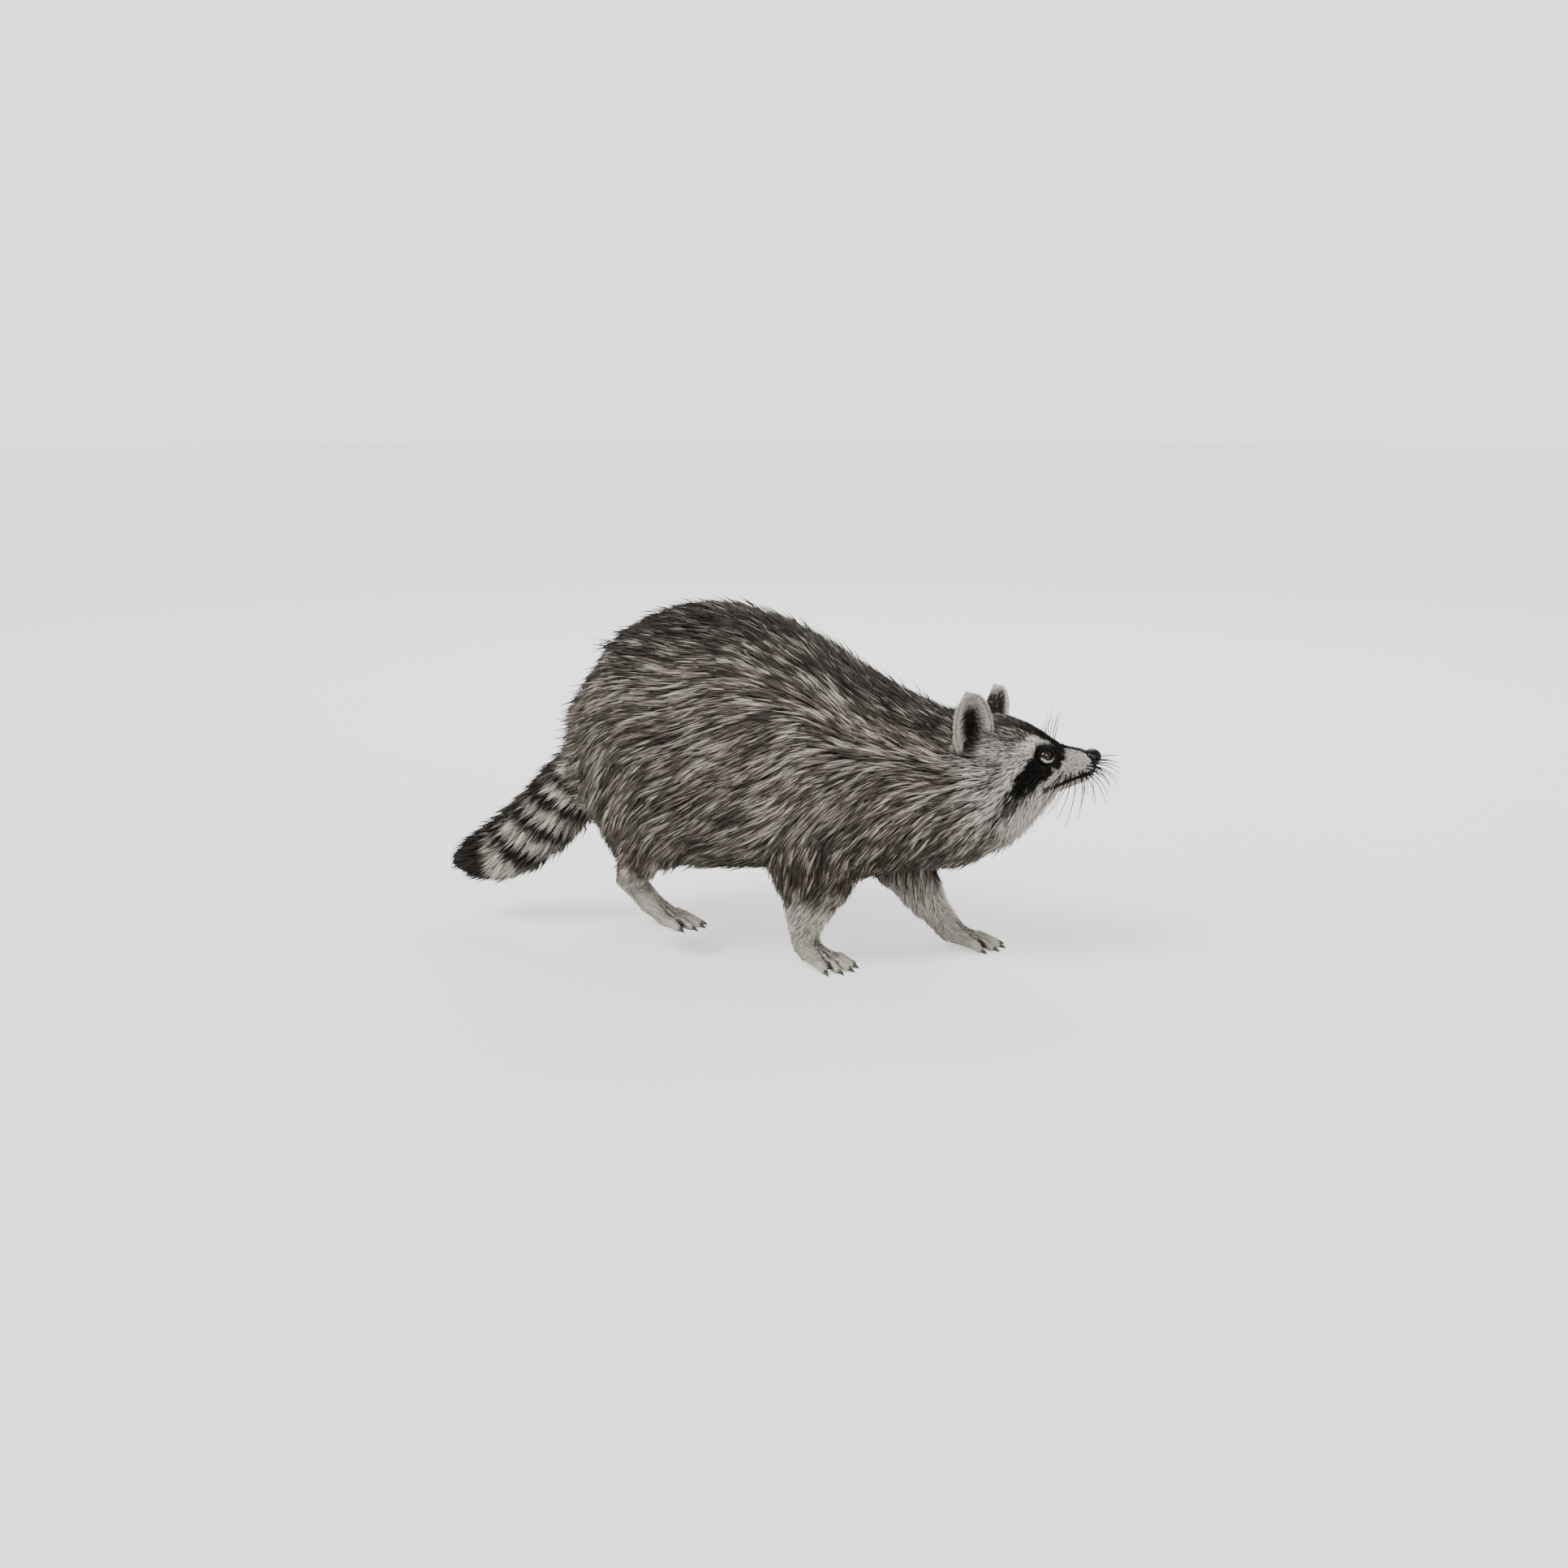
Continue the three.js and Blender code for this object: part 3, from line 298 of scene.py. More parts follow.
def body_form(p):
    """Level of the trunk, neck and head: a superellipse of power 2.2 across, |y/half|^n + |up/reach|^n = 1.
    The level is (ratio - 1) over the ratio's own slope, so it is close to a distance."""
    x = np.clip(p[:, 0], BODY_X[0], BODY_X[-1])
    top, widest, low, half, coat_top, coat_side = body_section(x)
    d_top, d_widest, d_low, d_half = [np.interp(x, BODY_X, c) for c in BODY_SLOPES.T[:4]]
    up = p[:, 2] - widest
    above = up > 0
    reach = np.where(above, top - widest, widest - low)
    d_reach = np.where(above, d_top - d_widest, d_widest - d_low)
    n = SECTION_POWER
    a, b = np.abs(p[:, 1]) / half, np.abs(up) / reach
    a_power, b_power = a ** (n - 1), b ** (n - 1)
    total = np.maximum(a * a_power + b * b_power, 1e-6)
    ratio = total ** (1 / n)
    scale = ratio / total
    along = scale * (a * a_power * d_half / half + b_power * (b * d_reach + np.sign(up) * d_widest) / reach)
    slope = np.sqrt((scale * a_power / half) ** 2 + (scale * b_power / reach) ** 2 + along**2)
    level = (ratio - 1) / np.maximum(slope, 1e-6)
    past = np.maximum(BODY_X[0] - p[:, 0], p[:, 0] - BODY_X[-1])
    round_by = np.where(p[:, 0] < 0, 9.0, 3.0)
    level = np.where(past > 0, np.hypot(np.maximum(level, 0), past), blunt(level, past, round_by))
    coat = lerp(coat_side, coat_top, ramp(up / (top - widest), 0.2, 0.9))
    return level + inset(coat), coat, body_lie(p, top, widest, d_top)


def body_lie(p, top, widest, d_top):
    """The coat's lie on the trunk and head: backwards, up along the hump's front, down over the flanks,
    steeper under the neck, and slanting down and back on the face."""
    under_top = top - p[:, 2]
    neck, head = ramp(p[:, 0], 60, 150), ramp(p[:, 0], 195, 225)
    rise = np.clip(-d_top, 0, 0.6) * (1 - ramp(under_top, 15, 90)) * (1 - head)
    steep = lerp((0.5 + 0.7 * neck) * ramp(under_top, 20, 130), 0.15 + ramp(under_top, 10, 90), head)
    steep += 0.9 * ramp(p[:, 0], 110, 160) * ramp(widest - p[:, 2], 5, 60) * (1 - 0.6 * head)
    return np.stack([-np.ones_like(steep), np.zeros_like(steep), rise - steep], 1)


def chain(stations, back=0.0, sideways=(0, 1, 0), cap=1.0, lie=None):
    """A limb's segments between its stations, with each one's axes and the values at its ends."""
    segments = []
    for a, b in zip(stations[:-1], stations[1:]):
        run = b[:3] - a[:3]
        along = unit(run)
        side = square_to(np.array(sideways, float), along)
        lies = along + (back, 0, 0) if lie is None else np.array(lie, float)
        segments.append((a, b, run, along, side, np.cross(side, along), lies, cap))
    return segments


def chain_form(p, segments):
    """Level of a limb: an elliptical bar round each segment, with round ends, all joined."""
    found = (np.full(len(p), FAR), np.zeros(len(p)), np.zeros((len(p), 3)))
    for a, b, run, along, side, fore, lies, cap in segments:
        t = np.clip((p - a[:3]) @ run / (run @ run), 0, 1)
        away = p - a[:3] - t[:, None] * run
        radius_fore, radius_side, coat = [lerp(a[i], b[i], t) for i in (3, 4, 5)]
        ratio = np.sqrt(
            (away @ side / radius_side) ** 2
            + (away @ fore / radius_fore) ** 2
            + (away @ along / (radius_side * cap)) ** 2
        )
        distance = np.linalg.norm(away, axis=1)
        level = np.where(ratio < 1e-3, -radius_side, (ratio - 1) * distance / np.maximum(ratio, 1e-6))
        here = (level + inset(coat), coat, np.broadcast_to(lies, p.shape))
        found = meet(found, here, SEGMENT_ROUND)
    return found


def on_foot(foot, ahead, left, up):
    """A place on a foot: ahead of its ball, to its left and up from its sole, turned about the ball."""
    forward, sideways = headed(foot)
    return np.array([*FEET[foot].ball, up + FEET[foot].lift]) + forward * ahead + sideways * left


def headed(foot, turn=0.0):
    """The unit vectors ahead of a foot and to its left."""
    angle = math.radians(FEET[foot].heading + turn)
    cos, sin = math.cos(angle), math.sin(angle)
    return np.array([cos, sin, 0]), np.array([-sin, cos, 0])


def toe_run(foot, toe):
    """A toe's heading, its root, knuckle and end."""
    run, _ = headed(foot, FEET[foot].fan * toe)
    length = FEET[foot].toe * (1 - TOE_SHORTER * toe * toe)
    root = on_foot(foot, TOE_AHEAD - TOE_BACK * toe * toe, TOE_APART * toe, TOE_ROOT_UP)
    knuckle, end = root + run * length / 2, root + run * length
    knuckle[2] += TOE_KNUCKLE_UP - TOE_ROOT_UP
    end[2] += TOE_END_UP - TOE_ROOT_UP
    return run, root, knuckle, end


def sole_chain(foot):
    """A foot's sole as segments from heel to ball, with a coat that lies towards the toes."""
    ahead, left = headed(foot)
    stations = [(*on_foot(foot, a, 0, up), thick, half, FOOT_COAT) for a, up, half, thick in FEET[foot].sole]
    return chain(np.array(stations), sideways=left, cap=0.35, lie=ahead - (0, 0, 0.35))


def toe_chain(foot, toe):
    """A toe's two segments, from its root over the knuckle to its end."""
    run, root, knuckle, end = toe_run(foot, toe)
    radii = (TOE_RADIUS, TOE_RADIUS, TOE_TIP)
    stations = [(*at, r, r, TOE_COAT) for at, r in zip((root, knuckle, end), radii)]
    return chain(np.array(stations), sideways=headed(foot, FEET[foot].fan * toe)[1], lie=run - (0, 0, 0.3))


def near_ball(p, foot, reach):
    """Which places are within reach of a foot's ball, seen from above."""
    return np.hypot(p[:, 0] - foot.ball[0], p[:, 1] - foot.ball[1]) < reach


def over_sole(p):
    """The height of each place over the sole of its own foot, lifted or not."""
    height = p[:, 2].copy()
    for foot in FEET.values():
        height[near_ball(p, foot, 60)] -= foot.lift
    return height


def reach_of(segments, margin):
    """The box round a limb, grown by a margin."""
    ends = np.array([e for a, b, *_ in segments for e in (a, b)])
    wide = np.maximum(ends[:, 3], ends[:, 4])[:, None]
    return (ends[:, :3] - wide).min(0) - margin, (ends[:, :3] + wide).max(0) + margin


LEG_BACK = -0.45  # how far the coat of the legs leans back from their run
LIMBS = {
    name: chain(np.array(rows, float), back=0.0 if name == "tail" else LEG_BACK)
    for name, rows in LIMB_ROWS.items()
}
SOLES = {foot: sole_chain(foot) for foot in FEET}
TOE_CHAINS = {foot: [toe_chain(foot, toe) for toe in TOES] for foot in FEET}


def joined(found, p, segments, round_by, margin=26):
    """The field with a limb joined to it where the limb is near."""
    low, high = reach_of(segments, margin)
    near = np.nonzero(((p > low) & (p < high)).all(1))[0]
    level, coat, lie = found
    here = meet((level[near], coat[near], lie[near]), chain_form(p[near], segments), round_by)
    for whole, part in zip(found, here):
        whole[near] = part
    return found


def bulge(found, p, at, radii, round_by, depth, margin=12):
    """An ellipsoid joined to the field: level (ratio - 1) times the distance over the ratio."""
    near = np.nonzero((np.abs(p - at) < radii + margin).all(1))[0]
    away = p[near] - at
    ratio = np.maximum(np.linalg.norm(away / radii, axis=1), 1e-3)
    level = (ratio - 1) * np.linalg.norm(away, axis=1) / ratio + depth
    found[0][near] = -blunt(-found[0][near], -level, round_by)
    return found


def trunk_and_muzzle(p):
    """The field of the trunk and head with the whisker pads joined to it."""
    found = tuple(np.array(part) for part in body_form(p))
    for side in (1, -1):
        found = bulge(found, p, PAD_AT * (1, side, 1), PAD_RADII, PAD_ROUND, PAD_COAT)
    return found


def from_eye(p):
    """Distance of each place from the middle of the eye on its side."""
    return np.linalg.norm(on_left(p) - EYE_AT, axis=1)


def mouth_distance(x, z):
    """Distance in the side view from the line of the mouth."""
    nearest = np.full(len(x), FAR)
    for (ax, az), (bx, bz) in zip(MOUTH[:-1], MOUTH[1:]):
        run = np.array([bx - ax, bz - az])
        t = np.clip(((x - ax) * run[0] + (z - az) * run[1]) / (run @ run), 0, 1)
        nearest = np.minimum(nearest, np.hypot(x - ax - t * run[0], z - az - t * run[1]))
    return nearest


def measure(points):
    """At each place: its level over the skin, the coat's depth there and the coat's lie."""
    p = np.asarray(points, float)
    found = trunk_and_muzzle(p)
    for name, segments in LIMBS.items():
        found = joined(found, p, segments, TAIL_ROUND if name == "tail" else LEG_ROUND)
    for foot in FEET:
        found = joined(found, p, SOLES[foot], SOLE_ROUND)
        for segments in TOE_CHAINS[foot]:
            found = joined(found, p, segments, TOE_ROUND, margin=8)
    level, coat, lie = found
    level = blunt(level, SOLE_CUT - over_sole(p), SOLE_EDGE)
    face = np.nonzero(p[:, 0] > FACE_X)[0]
    level[face] = face_level(p[face], level[face])
    return level, coat, lie


def face_level(p, level):
    """The head's level with sockets for the eyes and the crease of the mouth."""
    level = blunt(level, EYE_RADIUS + SOCKET_GAP - from_eye(p), SOCKET_EDGE)
    crease = np.exp(-((mouth_distance(p[:, 0], p[:, 2]) / CREASE_HALF) ** 2)) * ramp(p[:, 0], *MUZZLE_X)
    return level + CREASE_DEPTH * crease


def slope_at(points, level, step=0.6):
    """The skin field's gradient, by differences from its level there."""
    ahead = [measure(points + np.eye(3)[axis] * step)[0] - level for axis in range(3)]
    return np.stack(ahead, 1) / step


def moved(p, level, slope, wanted):
    """Places moved along the field's slope from their level to the wanted one."""
    return p + slope * ((wanted - level) / np.maximum(dot(slope, slope), 0.3))[:, None]


def settle(points, wanted, rounds):
    """Places moved square to the skin until they are at the wanted level over it."""
    p = np.array(points, float)
    for _ in range(rounds):
        level = measure(p)[0]
        p = moved(p, level, slope_at(p, level), wanted)
    return p


# -------- meshes


def mesh_piece(name, points, faces, material, shade=None, maps=None, nodes=(), slot=None):
    """A piece from points, faces of one size, a colour for each point and UV maps for each point."""
    mesh = bpy.data.meshes.new(name)
    faces = np.ascontiguousarray(faces, np.int32)
    mesh.vertices.add(len(points))
    mesh.vertices.foreach_set("co", placed(points).astype(np.float32).ravel())
    mesh.loops.add(faces.size)
    mesh.loops.foreach_set("vertex_index", faces.ravel())
    mesh.polygons.add(len(faces))
    mesh.polygons.foreach_set("loop_start", np.arange(0, faces.size, faces.shape[1], dtype=np.int32))
    mesh.polygons.foreach_set("use_smooth", np.ones(len(faces), bool))
    mesh.update(calc_edges=True)
    if shade is not None:
        layer = mesh.color_attributes.new("shade", "FLOAT_COLOR", "POINT")
        rgba = np.concatenate([shade, np.ones((len(shade), 1))], 1).astype(np.float32)
        layer.data.foreach_set("color", rgba.ravel())
    for map_name, values in (maps or {}).items():
        layer = mesh.uv_layers.new(name=map_name)
        layer.uv.foreach_set("vector", values[faces.ravel()].astype(np.float32).ravel())
    mesh.materials.append(material)
    piece = bpy.data.objects.new(name, mesh)
    bpy.context.scene.collection.objects.link(piece)
    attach(piece, "root")
    if nodes:
        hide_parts(*nodes)
    return piece


def shell(rings, start=None, end=None):
    """A closed tube over rings of points that turn left about its run. Each end closes on the point that is
    given, or else on its ring's middle."""
    count, around, _ = rings.shape
    points = rings.reshape(-1, 3)
    start = rings[0].mean(0) if start is None else start
    end = rings[-1].mean(0) if end is None else end
    a = np.arange((count - 1) * around).reshape(count - 1, around)
    b = np.roll(a, -1, axis=1)
    faces = [np.stack([a, b, b + around], -1), np.stack([a, b + around, a + around], -1)]
    middle = np.full(around, count * around)
    faces.append(np.stack([middle, b[0], a[0]], -1))
    faces.append(np.stack([middle + 1, a[-1] + around, b[-1] + around], -1))
    return np.concatenate([points, [start, end]]), np.concatenate([f.reshape(-1, 3) for f in faces])


def gathered(parts):
    """Several (points, faces) as one."""
    starts = np.cumsum([0] + [len(points) for points, _ in parts[:-1]])
    points = np.concatenate([points for points, _ in parts])
    return points, np.concatenate([faces + start for (_, faces), start in zip(parts, starts)])


CORNERS = np.array(list(np.ndindex(2, 2, 2)))  # of a lattice cell
EDGES = [(i, j) for i in range(8) for j in range(i) if np.abs(CORNERS[i] - CORNERS[j]).sum() == 1]


def crossed_cells(values):
    """The lattice cells that the surface crosses, and in each the middle of its edges' crossings."""
    inside = values < 0
    windows = [inside[tuple(slice(s, n - 1 + s) for s, n in zip(c, values.shape))] for c in CORNERS]
    cell = np.argwhere(np.logical_or.reduce(windows) & ~np.logical_and.reduce(windows))
    at_corner = np.stack([values[tuple((cell + c).T)] for c in CORNERS], 1)
    total = np.zeros((len(cell), 3))
    count = np.zeros(len(cell))
    for i, j in EDGES:
        a, b = at_corner[:, i], at_corner[:, j]
        crosses = (a < 0) != (b < 0)
        t = np.where(crosses, a / np.where(crosses, a - b, 1), 0)[:, None]
        total += np.where(crosses[:, None], lerp(CORNERS[i], CORNERS[j], t), 0)
        count += crosses
    return cell, cell + total / count[:, None]


def surface_net(values, origin, step):
    """The surface where a lattice of values changes sign: a point in each crossed cell, and a quad round
    each crossed lattice edge, facing the positive side."""
    cell, middles = crossed_cells(values)
    index = np.full([n - 1 for n in values.shape], -1)
    index[tuple(cell.T)] = np.arange(len(cell))
    inside = values < 0
    quads = []
    for axis in range(3):
        u, v = (axis + 1) % 3, (axis + 2) % 3
        edge = np.argwhere(np.diff(inside, axis=axis))
        last_u, last_v = values.shape[u] - 1, values.shape[v] - 1
        edge = edge[(edge[:, u] > 0) & (edge[:, v] > 0) & (edge[:, u] < last_u) & (edge[:, v] < last_v)]
        around = []
        for du, dv in ((1, 1), (0, 1), (0, 0), (1, 0)):
            there = edge.copy()
            there[:, u] -= du
            there[:, v] -= dv
            around.append(index[tuple(there.T)])
        quad = np.stack(around, 1)
        out = inside[tuple(edge.T)]
        quads.append(np.where(out[:, None], quad, quad[:, ::-1]))
    return origin + middles * step, np.concatenate(quads)


def skin_lattice(low, high, step):
    """Skin levels on a lattice, worked out near the surface as a coarser lattice finds it. Elsewhere they
    are the coarser one's."""
    shape = np.ceil((high - low) / step / COARSER).astype(int) * COARSER + 1
    wide = [low[i] + np.arange(0, shape[i], COARSER) * step for i in range(3)]
    coarse = measure(np.stack(np.meshgrid(*wide, indexing="ij"), -1).reshape(-1, 3))[0]
    values = coarse.reshape([len(w) for w in wide])
    for axis in range(3):
        values = np.repeat(values, COARSER, axis=axis)
    values = values[tuple(slice(COARSER // 2, n + COARSER // 2) for n in shape)].copy()
    close = np.abs(values) < step * CLOSE
    values[close] = measure(low + np.argwhere(close) * step)[0]
    return values


def refined(points, quads, chosen_at):
    """The mesh with the edges of chosen places cut in two and its faces split to match."""
    mesh = bpy.data.meshes.new("draft")
    mesh.from_pydata(points.tolist(), [], quads.tolist())
    work = bmesh.new()
    work.from_mesh(mesh)
    bpy.data.meshes.remove(mesh)
    chosen = chosen_at(points)
    edges = [e for e in work.edges if all(chosen[v.index] for v in e.verts)]
    bmesh.ops.subdivide_edges(work, edges=edges, cuts=1, use_grid_fill=True)
    bmesh.ops.triangulate(work, faces=[f for f in work.faces if len(f.verts) != 3])
    work.verts.index_update()
    points = np.array([vertex.co[:] for vertex in work.verts])
    faces = np.array([[vertex.index for vertex in face.verts] for face in work.faces])
    work.free()
    return points, faces


# -------- markings

# The face in the side view, from low to high: level, and where each edge lies along the head.
MASK_BACK = np.array(
    [(142, 201), (150, 207), (158.6, 214.4), (166.4, 218.4), (171.4, 221.4), (177.2, 225), (182.2, 226.6)]
    + [(188.8, 228.6), (194.8, 233.4), (202.4, 238.9), (207, 243.2), (212.1, 246.5), (218.2, 242.8)]
)
MASK_FRONT = np.array(
    [(144.3, 217.7), (150.6, 225), (157.4, 231.2), (163.1, 235.7), (169.7, 240.1), (173.4, 244.5)]
    + [(178.5, 246.9), (182.1, 251.8), (188.5, 259), (193.4, 262.4), (197.4, 267.4), (202.9, 269.5)]
    + [(212.2, 266)]
)
BAND_BACK = np.array(
    [(140, 190), (149.5, 197), (162.9, 205), (170.1, 208.4), (175.6, 210), (184.8, 212.9), (189.3, 215.3)]
    + [(198.1, 217.2), (202.1, 221.3), (208.8, 224.7), (214.1, 226), (218.6, 231.4), (223, 238)]
)
# The dark stripe over the head, from the crown to the nose: along the head, and half its width.
STRIPE = np.array(
    [(200, 25), (216, 20), (231, 16), (240, 13.5), (249, 10.5), (260, 7.2), (277, 6), (284, 6.8), (290, 10)]
)
WHISKER_SPOTS = np.array(
    [(270.5, 200.6), (274.5, 202.2), (278.5, 201.5), (266, 195.5), (270.5, 196.2), (275, 197.2)]
    + [(279.8, 197.4), (284, 197.6), (264, 190.5), (268.6, 191.8), (273, 192.6), (277.6, 193)]
    + [(282, 193.2), (286.6, 193.6)]
)

# Dark rings of the tail: their middles along its run, and half their widths. The dark tip begins at the first
# number under the tail and at the second on its upper side.
RINGS = np.array([(71, 7), (98, 8), (130, 8.5), (168, 9.5)])
RING_SLANT, TAIL_TIP = 9, (197, 184)

LEG_TOP = 130  # the level under which the coat takes the legs' tone
ANKLE = (58, 46)  # the level where the pale feet begin, in front and behind
# Where the markings of the head set in and where they are full: along the head (X) and by level (Z).
HEAD_Z = (85, 105)
CHEEK_X, CHEEK_Z = (172, 192), (140, 168)
THROAT_X = (150, 185)
NAPE_X = (182, 194)
CROWN_X, BROW_X = (168, 190), (236, 244)
BAND_Z = (140, 156)
CHIN_X, CHIN_Z = (206, 222), (158, 170)
MASK_Z, MASK_TOP_Z = (163, 172), (213, 216.5)
MASK_TAIL_Z, MASK_TAIL_TOP_Z = (141, 152), (168, 175)
MOUTH_CORNER = (253.5, 174.5)


def along_limb(p, segments):
    """For each place, by the limb's nearest segment: how far along the limb's run it is, how far off the
    run to the side, ahead and in all. Then the length of the whole run."""
    found = np.full((4, len(p)), np.inf)
    walked = 0.0
    for a, _, run, _, side, fore, _, _ in segments:
        length = np.linalg.norm(run)
        t = np.clip((p - a[:3]) @ run / (run @ run), 0, 1)
        away = p - a[:3] - t[:, None] * run
        distance = np.linalg.norm(away, axis=1)
        closer = distance < found[3]
        found[:, closer] = np.stack([walked + t * length, away @ side, away @ fore, distance])[:, closer]
        walked += length
    return found, walked


def ring_share(p):
    """How dark the tail's rings make a place, and how far along the tail it is. The rings slant back on the
    upper side, where a dark edge joins them, and the tip is dark all round."""
    (run_at, _, fore, distance), _ = along_limb(p, LIMBS["tail"])
    upper = fore / np.maximum(distance, 1e-6)
    ragged = 1.5 * waves(p, size=9, seed=5)
    slanted = run_at - RING_SLANT * (upper - 0.4) + ragged
    dark = ramp(run_at + ragged - lerp(*TAIL_TIP, ramp(upper, -1, 0.8)), -3, 3)
    for middle, half in RINGS:
        dark = np.maximum(dark, 1 - ramp(np.abs(slanted - middle), half - 2, half + 2))
    upper_edge = ramp(upper + 0.1 * waves(p, size=12, seed=6), 0.52, 0.8) * 0.92
    lower_edge = ramp(-upper + 0.12 * waves(p, size=9, seed=7), 0.55, 0.95) * 0.5
    return np.maximum(dark, np.maximum(upper_edge, lower_edge)), run_at


# The columns of a fur tone.
# The first columns hold the colour next to the skin: the underfur's own, darker partly as painted shade deep
# in the coat.
UNDER_AND_SHADE, MIDDLE, DARK, PALE = [slice(i, i + 3) for i in (0, 3, 6, 9)]
DARK_SHARE, PALE_SHARE = slice(12, 13), slice(13, 14)
TONE_COLUMNS = 14


def tone(under, middle, dark, pale, dark_share, pale_share):
    """A fur tone: its colours next to the skin, in the middle, of a dark tip and of a pale tip, and how many
    of the tips are dark and how many pale. The colour next to the skin is the underfur's own, darker partly
    as painted shade deep in the coat."""
    colours = [linear(colour) for colour in (under, middle, dark, pale)]
    return np.concatenate([*colours, [dark_share, pale_share]])


def tones(colours):
    """Fur tones of each part of the coat, from the colours that the panel holds."""
    c = {name: np.array(getattr(colours, name)) * 255 for name in colours.__annotations__}
    dark, pale, white, ring = c["guard_dark"], c["guard_pale"], c["white"], c["ring_dark"]
    under, foot, mask = c["underfur"], c["foot"], c["mask"]
    return {
        "flank": tone(under, c["flank"], dark, pale, 0.38, 0.37),
        "spine": tone(under * 0.7, c["spine"], dark * 0.7, pale * 0.85, 0.6, 0.15),
        "belly": tone(under * 0.75, c["belly"], dark, pale * 0.9, 0.46, 0.18),
        "leg": tone(under * 0.8, c["belly"], dark, pale * 0.95, 0.44, 0.24),
        "foot": tone(foot * 0.66, foot, foot * 0.55, white, 0.12, 0.4),
        # Painted shade in the creases between the toes.
        "toe_shade": tone(dark, dark * 1.1, dark * 0.8, foot * 0.6, 0.4, 0.06),
        "mask": tone(mask, mask * 1.2, mask * 0.8, mask * 2, 0.6, 0.06),
        "mask_tail": tone(mask, mask * 2, mask, white * 0.95, 0.62, 0.22),
        "white": tone(white * 0.78, white, white * 0.78, white * 1.06, 0.1, 0.45),
        "cheek": tone(c["flank"] * 0.8, white * 0.86, dark * 1.3, white, 0.24, 0.42),
        "muzzle": tone(white * 0.66, white * 0.97, dark * 2.2, white * 1.06, 0.1, 0.4),
        "crown": tone(under * 0.7, c["spine"] * 1.2, dark * 0.8, pale, 0.5, 0.2),
        "throat": tone(under * 0.9, c["flank"] * 1.1, dark, white * 0.95, 0.42, 0.38),
        "ring_dark": tone(ring, ring, ring * 0.7, ring * 1.8, 0.5, 0.1),
        "ring_pale": tone(c["ring_pale"] * 0.6, c["ring_pale"], ring * 1.6, white, 0.14, 0.4),
    }


def markings(p, palette):
    """The fur tone at each place of the trunk, legs, feet and head, as rows."""
    x, z = p[:, 0], p[:, 2]
    top, widest, low = body_section(np.clip(x, BODY_X[0], BODY_X[-1]))[:3]
    ragged = waves(p, size=22, seed=3)
    found = np.broadcast_to(palette["flank"], (len(p), TONE_COLUMNS)).copy()

    def paint(share, name):
        found[:] = lerp(found, palette[name], np.clip(share, 0, 1)[:, None])

    paint(ramp((z - widest) / (top - widest) + 0.08 * ragged, 0.6, 0.98) * 0.9, "spine")
    paint(ramp((widest - z) / (widest - low) + 0.08 * ragged, 0.45, 0.95) * 0.8, "belly")
    paint(ramp(LEG_TOP - z, 0, 60) * (1 - ramp(x, 190, 205)) * 0.7, "leg")
    hind = ramp(-x, 0, 20)
    height = np.where(hind > 0.5, over_sole(p), z)
    over_ankle = height - lerp(*ANKLE, hind) + 6 * ragged + 3 * waves(p, size=8, seed=4)
    paint((1 - ramp(over_ankle, -16, 16)) * ramp(x, -215, -200), "foot")
    # Painted shade between the toes, as dark lines up the foot.
    paint(toe_crease_shade(p) * (1 - ramp(height, 24, 34)) * 0.95, "toe_shade")
    face_markings(p, paint, top)
    return found


def toe_crease_shade(p):
    """Painted shade in the creases between the toes: dark lines that run back up the foot, by the distance to
    the side from the nearest.
    """
    found = np.zeros(len(p))
    for name, foot in FEET.items():
        near = np.nonzero(near_ball(p, foot, 45))[0]
        forward, sideways = headed(name)
        away = p[near, :2] - foot.ball
        ahead, left = away @ forward[:2], away @ sideways[:2]
        past = ahead - TOE_AHEAD
        apart = np.maximum(TOE_APART + math.radians(foot.fan) * past, 3.0)
        aside = (np.abs(np.abs(left / apart) % 1 - 0.5)) * apart
        inner = np.abs(left / apart) < 2.2
        line = (1 - ramp(aside, 0.6, lerp(1.5, 2.1, ramp(past, 0, 12)))) * inner
        found[near] = np.maximum(found[near], line * ramp(ahead, -22, -2))
    return found


